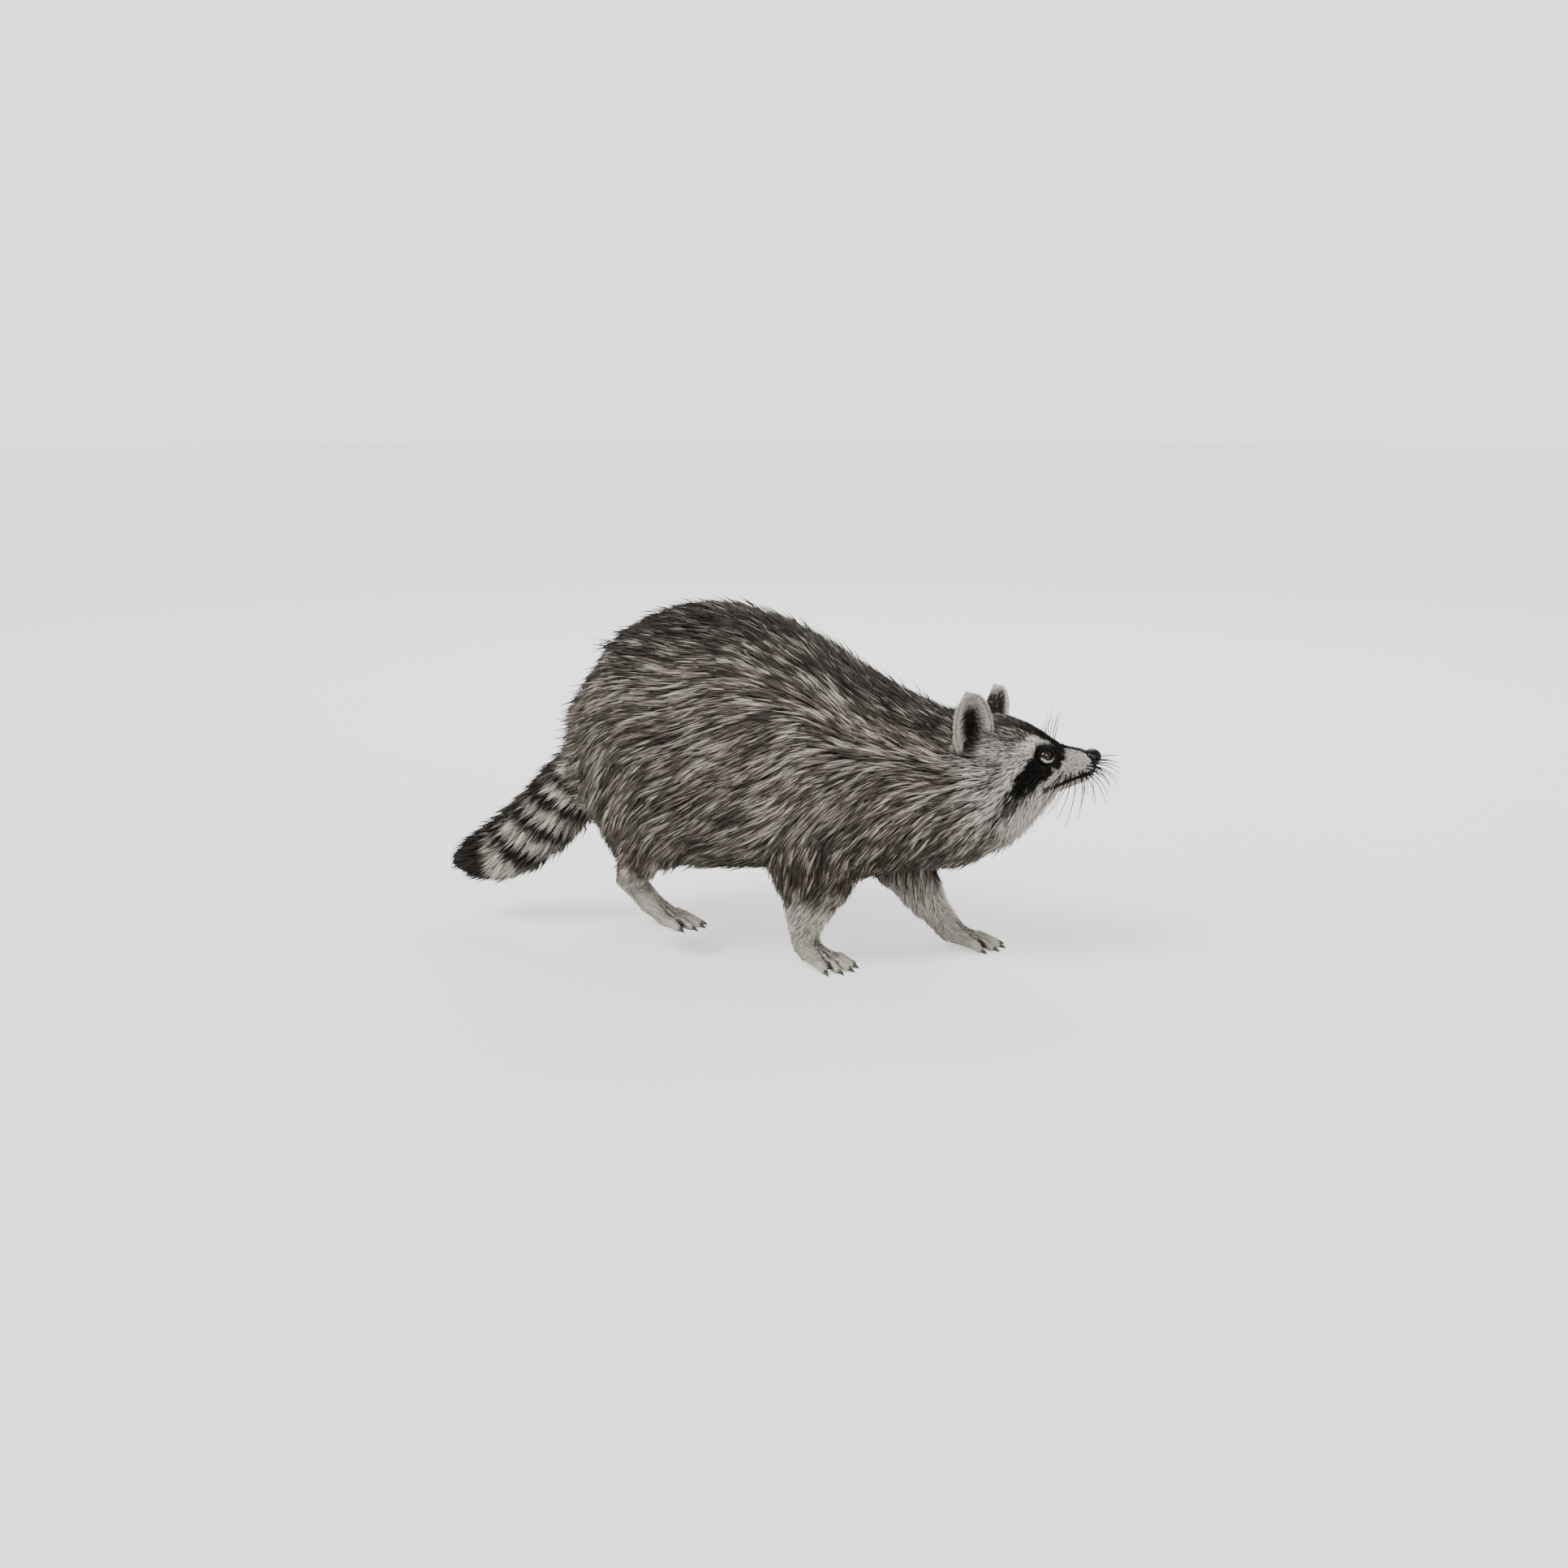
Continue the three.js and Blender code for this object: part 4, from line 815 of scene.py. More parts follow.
def face_markings(p, paint, top):
    """Paints the head: cheeks, throat, crown, the white band and chin, the muzzle, the mask, the whisker
    spots and dark lips."""
    x, z = p[:, 0], p[:, 2]
    edge = 1.5 * waves(p, size=9, seed=8) + 1.1 * waves(p, size=4, seed=9)
    is_head = ramp(z, *HEAD_Z)
    nape = ramp(z - (top - 34) + 2 * edge, 0, 16) * (1 - ramp(x, *NAPE_X))
    paint(ramp(x + 0.3 * (z - 170) + 2 * edge, *CHEEK_X) * is_head * ramp(z, *CHEEK_Z) * (1 - nape), "cheek")
    paint(ramp(x - 0.3 * (z - 150) + 2 * edge, *THROAT_X) * is_head * (1 - ramp(z, *CHEEK_Z)), "throat")
    crown = ramp(x + 2 * edge, *CROWN_X) * ramp(z - (top - 20) + 2 * edge, 0, 12) * (1 - ramp(x, *BROW_X))
    paint(crown * 0.85, "crown")
    behind = np.interp(z, *BAND_BACK.T)
    paint(ramp(x + edge, behind - 3, behind + 3) * is_head * ramp(z, *BAND_Z), "white")
    chin = ramp(x + 0.35 * (z - 140) + 2 * edge, *CHIN_X) * (1 - ramp(z, *CHIN_Z)) * is_head
    paint(chin * 0.95, "white")
    paint(ramp(x, *MUZZLE_X) * is_head, "muzzle")
    mask_markings(p, paint, top, edge, is_head)
    in_view = np.stack([x, z], 1)
    spots = np.min([np.linalg.norm(in_view - spot, axis=1) for spot in WHISKER_SPOTS], axis=0)
    paint((1 - ramp(spots, 0.5, 1.1)) * (x > 255) * 0.85, "mask")
    paint((1 - ramp(mouth_distance(x, z) + 0.5 * edge, 1.2, 2.4)) * ramp(x, 250, 256) * 0.9, "mask")
    corner = np.hypot(x - MOUTH_CORNER[0], (z - MOUTH_CORNER[1]) * 1.2)
    paint((1 - ramp(corner + 0.5 * edge, 2.0, 4.5)) * 0.85, "mask")


def mask_markings(p, paint, top, edge, is_head):
    """Paints the mask with its broken lower tail, the ring round the eye, the stripe over crown and nose, and
    the dark patch behind the ear."""
    x, z, beside = p[:, 0], p[:, 2], np.abs(p[:, 1])
    back, front = np.interp(z, *MASK_BACK.T), np.interp(z, *MASK_FRONT.T)
    mask = ramp(x + edge, back - 1.2, back + 1.2) * (1 - ramp(x + edge, front - 1.4, front + 1.4)) * is_head
    mask *= 1 - ramp(z + 0.4 * edge, *MASK_TOP_Z)
    paint(mask * ramp(z, *MASK_TAIL_Z) * (1 - ramp(z, *MASK_TAIL_TOP_Z)) * 0.8, "mask_tail")
    paint(mask * ramp(z + 2 * edge, *MASK_Z), "mask")
    paint(1 - ramp(from_eye(p) + 0.5 * edge, EYE_RADIUS + 3.0, EYE_RADIUS + 5.0), "mask")
    wide = np.interp(x, *STRIPE.T)
    stripe = (1 - ramp(beside + 0.6 * edge, wide - 1.5, wide + 1.5)) * ramp(z, top - 20, top - 12)
    paint(stripe * ramp(x, 196, 222) * (0.6 + 0.4 * ramp(x, 222, 242)), "mask")
    behind_ear = ramp(x, 172, 178) * (1 - ramp(x, 192, 198)) * ramp(beside, 34, 40) * ramp(z, 200, 210)
    paint(behind_ear * 0.75, "mask")


def tail_markings(p, palette):
    """The tail's tones, and how much they show: none of them at the root, where the trunk's tone goes on."""
    dark, run_at = ring_share(p)
    found = lerp(palette["ring_pale"], palette["ring_dark"], dark[:, None])
    return found, ramp(run_at, 34, 52)


# -------- materials


def new_nodes(tree, *kinds):
    return [tree.nodes.new("ShaderNode" + kind) for kind in kinds]


def fill(node, values):
    """Sets constants on a node's inputs, by name or number."""
    for key, value in values.items():
        node.inputs[key].default_value = value


def link(tree, *wires):
    """Links sockets: each wire is a node, its output, a node and its input."""
    for source, out, target, into in wires:
        tree.links.new(source.outputs[out], target.inputs[into])


def math_node(tree, operation, constants):
    """A math node with its operation and constants."""
    node = tree.nodes.new("ShaderNodeMath")
    node.operation = operation
    fill(node, constants)
    return node


STRAND_SOCKETS = {
    "INPUT": {"Colour": "Color", "Place": "Vector", "Contrast": "Float", "Rough": "Float"},
    "OUTPUT": {"Colour": "Color", "Height": "Float", "Roughness": "Float"},
}


def strand_group():
    """Fine strands: the colour times 1 - contrast + 2 contrast noise, the noise as height, and as roughness
    the given one + 0.25 noise."""
    if "Fine strands" in bpy.data.node_groups:
        return bpy.data.node_groups["Fine strands"]
    group = bpy.data.node_groups.new("Fine strands", "ShaderNodeTree")
    for way, kinds in STRAND_SOCKETS.items():
        for name, kind in kinds.items():
            group.interface.new_socket(name, in_out=way, socket_type="NodeSocket" + kind)
    inputs, outputs = group.nodes.new("NodeGroupInput"), group.nodes.new("NodeGroupOutput")
    noise, scaled = new_nodes(group, "TexNoise", "VectorMath")
    fill(noise, {"Scale": 1.0, "Detail": 3.0})
    scaled.operation = "SCALE"
    low, span = math_node(group, "SUBTRACT", {0: 1.0}), math_node(group, "MULTIPLY", {1: 2.0})
    bright, rough = math_node(group, "MULTIPLY_ADD", {}), math_node(group, "MULTIPLY_ADD", {1: 0.25})
    link(
        group,
        (inputs, "Place", noise, "Vector"),
        (inputs, "Contrast", low, 1),
        (inputs, "Contrast", span, 0),
        (noise, "Fac", bright, 0),
        (span, 0, bright, 1),
        (low, 0, bright, 2),
        (inputs, "Colour", scaled, 0),
        (bright, 0, scaled, "Scale"),
        (scaled, 0, outputs, "Colour"),
        (noise, "Fac", outputs, "Height"),
        (noise, "Fac", rough, 0),
        (inputs, "Rough", rough, 2),
        (rough, 0, outputs, "Roughness"),
    )
    return group


def fresh_material(name):
    """A new material, its node tree and its shader."""
    material = bpy.data.materials.new(name)
    material.use_nodes = True
    return material, material.node_tree, material.node_tree.nodes["Principled BSDF"]


def stranded(name, stretch, contrast, rough, bump, specular, map_name=None, wet=0.0, wet_rough=0.03):
    """A material whose colour is the piece's own shade, broken by fine strands along its map, or else along
    Object coordinates. Their noise repeats `stretch` times each way. `wet` is the weight of a clear coat."""
    material, tree, shader = fresh_material(name)
    kinds = ("Attribute", "Group", "Mapping", "Bump", "UVMap" if map_name else "TexCoord")
    shade, strands, spread, bumps, place = new_nodes(tree, *kinds)
    shade.attribute_name = "shade"
    strands.node_tree = strand_group()
    if map_name:
        place.uv_map = map_name
    fill(strands, {"Contrast": contrast, "Rough": rough})
    fill(spread, {"Scale": stretch})
    fill(bumps, {"Strength": bump, "Distance": 0.0004})
    fill(shader, {"Specular IOR Level": specular, "Coat Weight": wet, "Coat Roughness": wet_rough})
    link(
        tree,
        (place, "UV" if map_name else "Object", spread, "Vector"),
        (spread, "Vector", strands, "Place"),
        (shade, "Color", strands, "Colour"),
        (strands, "Colour", shader, "Base Color"),
        (strands, "Roughness", shader, "Roughness"),
        (strands, "Height", bumps, "Height"),
        (bumps, "Normal", shader, "Normal"),
    )
    return material


def mottled(tree, shader, scale, low, high):
    """Colours a shader from low to high by a noise over the Object coordinates, and returns their node."""
    place, noise, mix = new_nodes(tree, "TexCoord", "TexNoise", "Mix")
    mix.data_type = "RGBA"
    fill(noise, {"Scale": scale})
    fill(mix, {"A": (*low, 1), "B": (*high, 1)})
    link(
        tree,
        (place, "Object", noise, "Vector"),
        (noise, "Fac", mix, "Factor"),
        (mix, "Result", shader, "Base Color"),
    )
    return place


def material_of(name, make, **looks):
    """A material by name, made the first time it is asked for."""
    return bpy.data.materials.get(name) or make(name, **looks)


def coat_material():
    looks = dict(stretch=(7, 0.6, 1), contrast=0.3, rough=0.5, bump=0.35, specular=0.25)
    return material_of("Guard hair", stranded, map_name="strand", **looks)


def face_material():
    looks = dict(stretch=(5, 0.6, 1), contrast=0.22, rough=0.58, bump=0.3, specular=0.13)
    return material_of("Short face fur", stranded, map_name="strand", **looks)


def skin_material():
    looks = dict(stretch=(900,) * 3, contrast=0.35, rough=0.7, bump=0.5, specular=0.2)
    return material_of("Underfur and skin", stranded, **looks)


def lid_material():
    looks = dict(stretch=(1500,) * 3, contrast=0.2, rough=0.62, bump=0.3, specular=0.1)
    return material_of("Lid skin", stranded, **looks)


def whisker_material():
    looks = dict(stretch=(300,) * 3, contrast=0.15, rough=0.5, bump=0.05, specular=0.1)
    return material_of("Whisker", stranded, **looks)


def pebbled(name, colour, rough, coat, scale, depth, specular):
    """Bare skin: a dark colour with `scale` pebbles to the metre as bump, and a moist coat."""
    material, tree, shader = fresh_material(name)
    pebbles, bumps = new_nodes(tree, "TexVoronoi", "Bump")
    low, high = linear(np.array(colour) * 0.8), linear(np.array(colour) * 1.5)
    place = mottled(tree, shader, scale * 0.25, low, high)
    fill(pebbles, {"Scale": scale})
    fill(bumps, {"Strength": 0.5, "Distance": depth})
    fill(shader, {"Coat Weight": coat, "Coat Roughness": 0.14, "Roughness": rough})
    fill(shader, {"Specular IOR Level": specular})
    link(
        tree,
        (place, "Object", pebbles, "Vector"),
        (pebbles, "Distance", bumps, "Height"),
        (bumps, "Normal", shader, "Normal"),
    )
    return material


def nose_material():
    looks = dict(colour=(11, 9, 9), rough=0.5, coat=0.3, scale=1300, depth=0.00012, specular=0.05)
    return material_of("Nose leather", pebbled, **looks)


def rim_material():
    looks = dict(colour=(12, 10, 9), rough=0.55, coat=0.03, scale=1600, depth=0.0001, specular=0.1)
    return material_of("Bare rims", pebbled, **looks)


def eye_material():
    """Iris and pupil from the ball's own shade, under a clear wet coat."""
    looks = dict(contrast=0.25, rough=0.12, bump=0.02, specular=0.0, wet=0.8, wet_rough=0.02)
    return material_of("Eye", stranded, stretch=(2500,) * 3, **looks)


def claw_material():
    """Horn, streaked along the claw, under a thin clear coat."""
    looks = dict(stretch=(3, 14, 1), contrast=0.25, rough=0.28, bump=0.25, specular=0.5, wet=0.3)
    return material_of("Horn of the claws", stranded, map_name="strand", **looks)


def pale_floor(name):
    """A pale matt floor with a faint mottle, which glows a little to the camera alone."""
    material, tree, shader = fresh_material(name)
    mottled(tree, shader, 6, (0.84, 0.84, 0.835), (0.87, 0.87, 0.865))
    path = tree.nodes.new("ShaderNodeLightPath")
    glow = math_node(tree, "MULTIPLY", {1: 0.75})
    fill(shader, {"Emission Color": (1, 1, 1, 1), "Roughness": 0.9, "Specular IOR Level": 0.1})
    link(tree, (path, "Is Camera Ray", glow, 0), (glow, 0, shader, "Emission Strength"))
    return material


def floor_material():
    return material_of("Studio floor", pale_floor)


# -------- skin

SKIN = {}  # the skin's points, faces, normals, coat depths and lies, once it is made

LEGS = ("foreleg", "forefoot", "hindleg", "hindfoot")
FLESH = ["torso", "neck", "head", "lower_jaw", "tail"]
FLESH += [f"{part}_{side}" for part in LEGS for side in ("right", "left")]
LATTICE_BOX = np.array([(-346, -106, -4), (303, 106, 336)], float)
PAD_COLOUR = (58, 48, 42)  # of the soles


def finer_at(p):
    """Where the skin's net is refined: round the eyes, on the muzzle and on the standing feet."""
    return (from_eye(p) < 17) | (p[:, 0] > 258) | ((p[:, 2] < 14) & (p[:, 0] < 230))


def make_skin(step):
    """The skin as a net over the field, finer in places, and drawn onto the field."""
    low, high = LATTICE_BOX
    points, quads = surface_net(skin_lattice(low, high, step), low, step)
    points = settle(points, 0.0, 2)
    points, faces = refined(points, quads, finer_at)
    level = measure(points)[0]
    slope = slope_at(points, level)
    points = moved(points, level, slope, 0.0)
    used, faces = np.unique(faces, return_inverse=True)
    points, faces = points[used], faces.reshape(-1, 3)
    _, coat, lie = measure(points)
    SKIN.update(points=points, faces=faces, out=unit(slope[used]), coat=coat, lie=lie)


def skin_shade(palette):
    """The skin's colours: the coat's markings next to the skin, and bare dark pads under the feet."""
    points = SKIN["points"]
    found = coat_tone(points, palette)
    # Under a long coat the skin takes the colour next to the skin, darker partly as painted shade.
    shade = lerp(found[:, UNDER_AND_SHADE], found[:, MIDDLE], 0.55 * (1 - ramp(SKIN["coat"], 3, 12))[:, None])
    pads = ramp(-SKIN["out"][:, 2], 0.35, 0.75) * (1 - ramp(over_sole(points), 3, 7))
    return lerp(shade, linear(PAD_COLOUR), pads[:, None])


def coat_tone(points, palette):
    """Fur tones everywhere: the trunk's markings, with the tail's rings where the tail is."""
    found = markings(points, palette)
    from_tail = chain_form(points, LIMBS["tail"])[0]
    on_tail = np.nonzero((from_tail < 20) & (from_tail < body_form(points)[0] + 3))[0]
    ringed, share = tail_markings(points[on_tail], palette)
    found[on_tail] = lerp(found[on_tail], ringed, share[:, None])
    return found


# -------- coat

PATCH = 0.003  # of a bake map, across
LONG_DENSITY, SHORT_EXTRA = 0.27, 0.75  # tufts to the square millimetre, and how many more of short ones
EYE_BARE, NOSE_BARE, LIP_BARE = 1.1, 0.8, 1.5  # how far no fur grows round the eye, the nose and the mouth
LOCK_SHARE, LOCK_REACH = 0.07, 2.1  # tufts that lead a lock, and half the width of a lock of long coat
LOCK_SLICE, LOCK_MARGIN = 20.0, 24  # slices that locks are looked for in, and how far past each
SWIRLS = ((95, 21, 0.13), (30, 31, 0.07))  # slow turns of the coat's lie: size, seed and strength
ON_LIMB, ON_FOOT = 3.0, 2.5  # how near a limb's or a foot's form its part of the coat begins


def thrown(density_at, seed):
    """Places on the skin, in even steps through its triangles' areas times the wanted density: their points,
    directions out, coat depths and lies."""
    rng = np.random.default_rng(seed)
    corners = SKIN["faces"]
    a, b, c = [SKIN["points"][corners[:, i]] for i in range(3)]
    area = np.linalg.norm(np.cross(b - a, c - a), axis=1) / 2
    weight = area * density_at((a + b + c) / 3, SKIN["out"][corners].mean(1), SKIN["coat"][corners].mean(1))
    total = int(weight.sum())
    steps = (np.arange(total) + rng.random(total)) / total * weight.sum()
    chosen = np.clip(np.searchsorted(np.cumsum(weight), steps), 0, len(corners) - 1)
    u, v = rng.random((2, total))
    over = u + v > 1
    u, v = np.where(over, 1 - u, u)[:, None], np.where(over, 1 - v, v)[:, None]

    def mixed(values):
        p, q, r = [values[corners[chosen, i]] for i in range(3)]
        if values.ndim == 1:
            p, q, r = p[:, None], q[:, None], r[:, None]
        return p * (1 - u - v) + q * u + r * v

    return mixed(SKIN["points"]), unit(mixed(SKIN["out"])), mixed(SKIN["coat"])[:, 0], mixed(SKIN["lie"])


def tuft_points(root, middle, tip, out, width, flat, turn):
    """Seven points for each tuft: a triangle at the root, one at the middle and the tip. A triangle has two
    corners to the sides and a ridge outwards, turned a little about the tuft's run."""
    run_low, run_high = unit(middle - root), unit(tip - root)
    rings = []
    for centre, run, share, sunk in ((root, run_low, 0.75, 0.6), (middle, run_high, 1.0, 0.0)):
        side = unit(np.cross(out, run))
        rise = np.cross(run, side)
        cos, sin = np.cos(turn)[:, None], np.sin(turn)[:, None]
        side, rise = side * cos + rise * sin, rise * cos - side * sin
        half = (width * share / 2)[:, None]
        centre = centre - out * sunk
        rings += [centre + side * half, centre + rise * half * flat, centre - side * half]
    return np.stack(rings + [tip], 1)


def tuft_faces():
    """A tuft's triangles: one over its root, two on each of its three sides, and three up to its tip."""
    sides = [(s, (s + 1) % 3) for s in range(3)]
    walls = [face for a, b in sides for face in ((a, b, b + 3), (a, b + 3, a + 3))]
    return np.array([(2, 1, 0)] + walls + [(a + 3, b + 3, 6) for a, b in sides])


TUFT_FACES = tuft_faces()
TUFT_ACROSS = np.array([1, 0.5, 0, 1, 0.5, 0, 0.5])
TUFT_ALONG = np.array([0, 0, 0, 0.45, 0.45, 0.45, 1])


def strand_places(rng, count):
    """A place in the strands' noise for each tuft, so that no two look alike."""
    return rng.uniform(0, 50, (count, 2))


def tuft_piece(name, tufts, shades, place, strand, material, nodes, slot):
    """A coat piece: its tufts' points, a colour for each point and its maps. OFBake gives each tuft a small
    patch at its root's place on the unwrapped skin; `strand` runs across and along the tufts."""
    firsts = np.arange(len(tufts)) * tufts.shape[1]
    faces = (TUFT_FACES[None] + firsts[:, None, None]).reshape(-1, 3)
    patch = np.stack([TUFT_ACROSS - 0.5, TUFT_ALONG - 0.5], 1) * PATCH
    bake = np.clip(place, 0.004, 0.996)[:, None, :] + patch
    strands = np.stack([TUFT_ACROSS, TUFT_ALONG], 1)[None] + strand[:, None, :]
    maps = {"OFBake": bake.reshape(-1, 2), "strand": strands.reshape(-1, 2)}
    return mesh_piece(name, tufts.reshape(-1, 3), faces, material, shades.reshape(-1, 3), maps, nodes, slot)


def tuft_shades(middle_rows, tip_rows, draw, bright):
    """Colours at the seven points: underfur at the root, darker partly as painted shade deep in the coat, a
    middle that leans to the tip's colour, and a tip that is dark, pale or plain by its draw from 0 to 1. The
    middle and the tip each have the tone of their own place, so that markings keep their edges."""
    tips = []
    for rows in (middle_rows, tip_rows):
        is_dark, is_pale = draw[:, None] < rows[:, DARK_SHARE], draw[:, None] > 1 - rows[:, PALE_SHARE]
        tips.append(np.where(is_dark, rows[:, DARK], np.where(is_pale, rows[:, PALE], rows[:, MIDDLE])))
    body = lerp(middle_rows[:, MIDDLE], tips[0], 0.6) * bright[:, None]
    base = lerp(middle_rows[:, UNDER_AND_SHADE], middle_rows[:, MIDDLE], 0.12)
    return np.stack([base] * 3 + [body] * 3 + [tips[1] * bright[:, None]], 1)


# Parts of the coat along the trunk and head, and the record's slots of those that aren't plain coat.
TRUNK_PARTS = {
    "rump": (-215, -140),
    "loin": (-140, -75),
    "back": (-75, -10),
    "ribs": (-10, 50),
    "shoulders": (50, 112),
    "neck": (112, 178),
    "cheeks": (178, 226),
    "face": (226, 300),
}
COAT_SLOTS = {"tail": "ringed_coat", "feet": "foot_fur", "face": "face_fur", "cheeks": "face_fur"}
SHORT_PARTS = ("face", "feet")


def part_of(p):
    """Which part of the coat each place on the skin belongs to, by name."""
    names = np.full(len(p), "face", dtype=object)
    for name, (low, high) in TRUNK_PARTS.items():
        names[(p[:, 0] >= low) & (p[:, 0] < high)] = name
    names[p[:, 0] < TRUNK_PARTS["rump"][0]] = "tail"
    for name, segments in LIMBS.items():
        names[chain_form(p, segments)[0] < ON_LIMB] = name
    for foot in FEET:
        for segments in (SOLES[foot], *TOE_CHAINS[foot]):
            names[chain_form(p, segments)[0] < ON_FOOT] = "feet"
    return names


def round_share(sideways, upward):
    """The angle of a direction as a share of a turn, 0.5 where it points up."""
    return np.arctan2(sideways, upward) / (2 * np.pi) + 0.5


def unwrap(name, p):
    """A place's spot on its part's unwrap: along the part and round it, both 0 to 1."""
    if name == "feet":
        return unwrap_feet(p)
    if name in TRUNK_PARTS:
        low, high = TRUNK_PARTS[name]
        up = p[:, 2] - body_section(p[:, 0])[1]
        return np.stack([(p[:, 0] - low) / (high - low), round_share(p[:, 1], up)], 1)
    (run_at, side, fore, _), length = along_limb(p, LIMBS[name])
    return np.stack([run_at / length, round_share(side, fore)], 1)


def unwrap_feet(p):
    """The four feet's spots, each foot in its own quarter."""
    spot = np.zeros((len(p), 2))
    for i, (name, foot) in enumerate(FEET.items()):
        here = near_ball(p, foot, 62)
        ahead, left = headed(name)
        away = p[here] - (*foot.ball, 8 + foot.lift)
        along = np.clip((away @ ahead + 50) / 95, 0.02, 0.98)
        around = round_share(away @ left, away[:, 2])
        spot[here] = np.stack([along / 2 + 0.5 * (i % 2), around / 2 + 0.5 * (i // 2)], 1)
    return spot


def bare(p, out):
    """Where no fur grows: eyes and their rims, nose, lips and the pads under the feet."""
    eye = from_eye(p) < EYE_RADIUS + EYE_BARE
    nose = np.linalg.norm((p - NOSE_AT) / (NOSE_RADII + NOSE_BARE), axis=1) < 1
    lips = (mouth_distance(p[:, 0], p[:, 2]) < LIP_BARE) & (p[:, 0] > 258)
    height = over_sole(p)
    pads = (height < 2.5) | ((height < 7) & (out[:, 2] < -0.5))
    return eye | nose | lips | pads


def coat_density(p, out, coat):
    """Tufts to the square millimetre: sparse where they are long, close on the face and the feet."""
    density = LONG_DENSITY + SHORT_EXTRA * (1 - ramp(coat, 2.5, 14))
    return np.where(bare(p, out), 0, density)


def locks(root, lie, share, rng):
    """The lock that each tuft belongs to: the nearest of a share of the tufts, where the way along the
    coat's lie counts a fifth. Worked out slice by slice along the body."""
    chosen = rng.permutation(len(root))[: int(len(root) * share)]
    found = np.zeros(len(root), np.int64)
    for low in np.arange(root[:, 0].min(), root[:, 0].max() + 1, LOCK_SLICE):
        high = low + LOCK_SLICE
        here = np.nonzero((root[:, 0] >= low) & (root[:, 0] < high))[0]
        near = chosen[(root[chosen, 0] > low - LOCK_MARGIN) & (root[chosen, 0] < high + LOCK_MARGIN)]
        away = (root[here][:, None] - root[near][None]).astype(np.float32)
        along = (away * lie[near][None].astype(np.float32)).sum(-1)
        found[here] = near[np.argmin((away**2).sum(-1) - 0.96 * along**2, axis=1)]
    return found


def round_eyes(p, lie):
    """The lie turned away from an eye where one is close, so that no hair crosses the ball."""
    away = on_left(p) - EYE_AT
    away[:, 1] *= np.where(p[:, 1] < 0, -1, 1)
    distance = np.linalg.norm(away, axis=1)
    share = 1 - ramp(distance, EYE_RADIUS + 1.5, EYE_RADIUS + 8)
    return lie + away / distance[:, None] * (1.7 * share)[:, None]


def combed(root, out, lie, rng):
    """The coat's lie with its swirls, each tuft's lock, and the draws that a lock's tufts share."""
    count = len(root)
    swirl = np.zeros_like(root)
    for size, seed, strength in SWIRLS:
        swirl += np.stack([waves(root, size, seed + axis) for axis in range(3)], 1) * strength
    lie = square_to(round_eyes(root, lie + swirl), out)
    lock = locks(root, lie, LOCK_SHARE, rng)
    draw = rng.random((count, 3))[lock]
    lie = square_to(lie + rng.normal(0, 0.04, (count, 3)) + rng.normal(0, 0.055, (count, 3))[lock], out)
    return lie, lock, draw


def to_lock(root, out, coat, lie, lock):
    """The way over the skin from each tuft to its lock's middle line, and how far out in the lock it is."""
    pull = root[lock] - root
    pull -= dot(pull, out)[:, None] * out
    pull -= dot(pull, lie)[:, None] * lie
    spacing = np.sqrt(LONG_DENSITY / np.maximum(coat_density(root, out, coat), LONG_DENSITY))
    return pull, np.clip(np.linalg.norm(pull, axis=1) / (LOCK_REACH * spacing), 0, 1)


def statures(root, out, coat, draw, aside, per_depth, rng):
    """Which tufts are guard tufts, which stand out of the coat, and which are underfur; each tuft's length,
    `per_depth` for each millimetre of coat; and the level of its tip."""
    count = len(root)
    long_coat = ramp(coat, 4, 16)
    on_tail = chain_form(root, LIMBS["tail"])[0] < 5
    above = ramp(out[:, 2], 0.1, 0.8) * ramp(200 - root[:, 0], 0, 40)
    chin = ramp(-out[:, 2], 0.1, 0.6) * ramp(root[:, 0], 205, 226) * (1 - ramp(root[:, 0], 256, 264))
    guard = rng.random(count) < 0.07 * long_coat + 0.3 * chin + 0.08 * on_tail
    under = ~guard & (rng.random(count) < 0.3 * long_coat)
    shortest = lerp(1.7, 2.4, ramp(over_sole(root), 22, 40))
    length = (shortest + per_depth * coat * np.where(on_tail, 0.8, 1)) * rng.uniform(0.75, 1.15, count)
    length += chin * rng.uniform(2, 7, count)
    length = np.where(under, length * 0.62, length)
    full = inset(coat)
    level = full * (0.78 + 0.34 * draw[:, 0] - 0.22 * aside**2 + rng.normal(0, 0.06, count))
    level += guard * (1.5 + (3.5 + 4.5 * above) * rng.random(count) ** 2.5)
    level += chin * rng.uniform(0, 3.5, count)
    return guard, under, length, np.maximum(np.where(under, full * 0.55, level), 0.5)


def bent(root, out, lie, pull, length, level):
    """Each tuft's middle and tip: along the coat's lie and over to its lock's middle line, settled at its own
    level over the body, inside the room that the coat has."""
    middle = root + lie * (length * 0.48)[:, None] + pull * 0.4 + out * (level * 0.6)[:, None]
    tip = root + lie * length[:, None] + pull + out * level[:, None]
    middle = settle(middle, level * 0.68, 1)
    tip = settle(tip, level, 2)
    for points in (middle, tip):
        points[:, 2] = np.maximum(points[:, 2], 0.6)
        points[:, 0] = np.maximum(points[:, 0], COAT_BACK)
        points[:, 1] = np.clip(points[:, 1], -COAT_SIDE, COAT_SIDE)
    return middle, tip


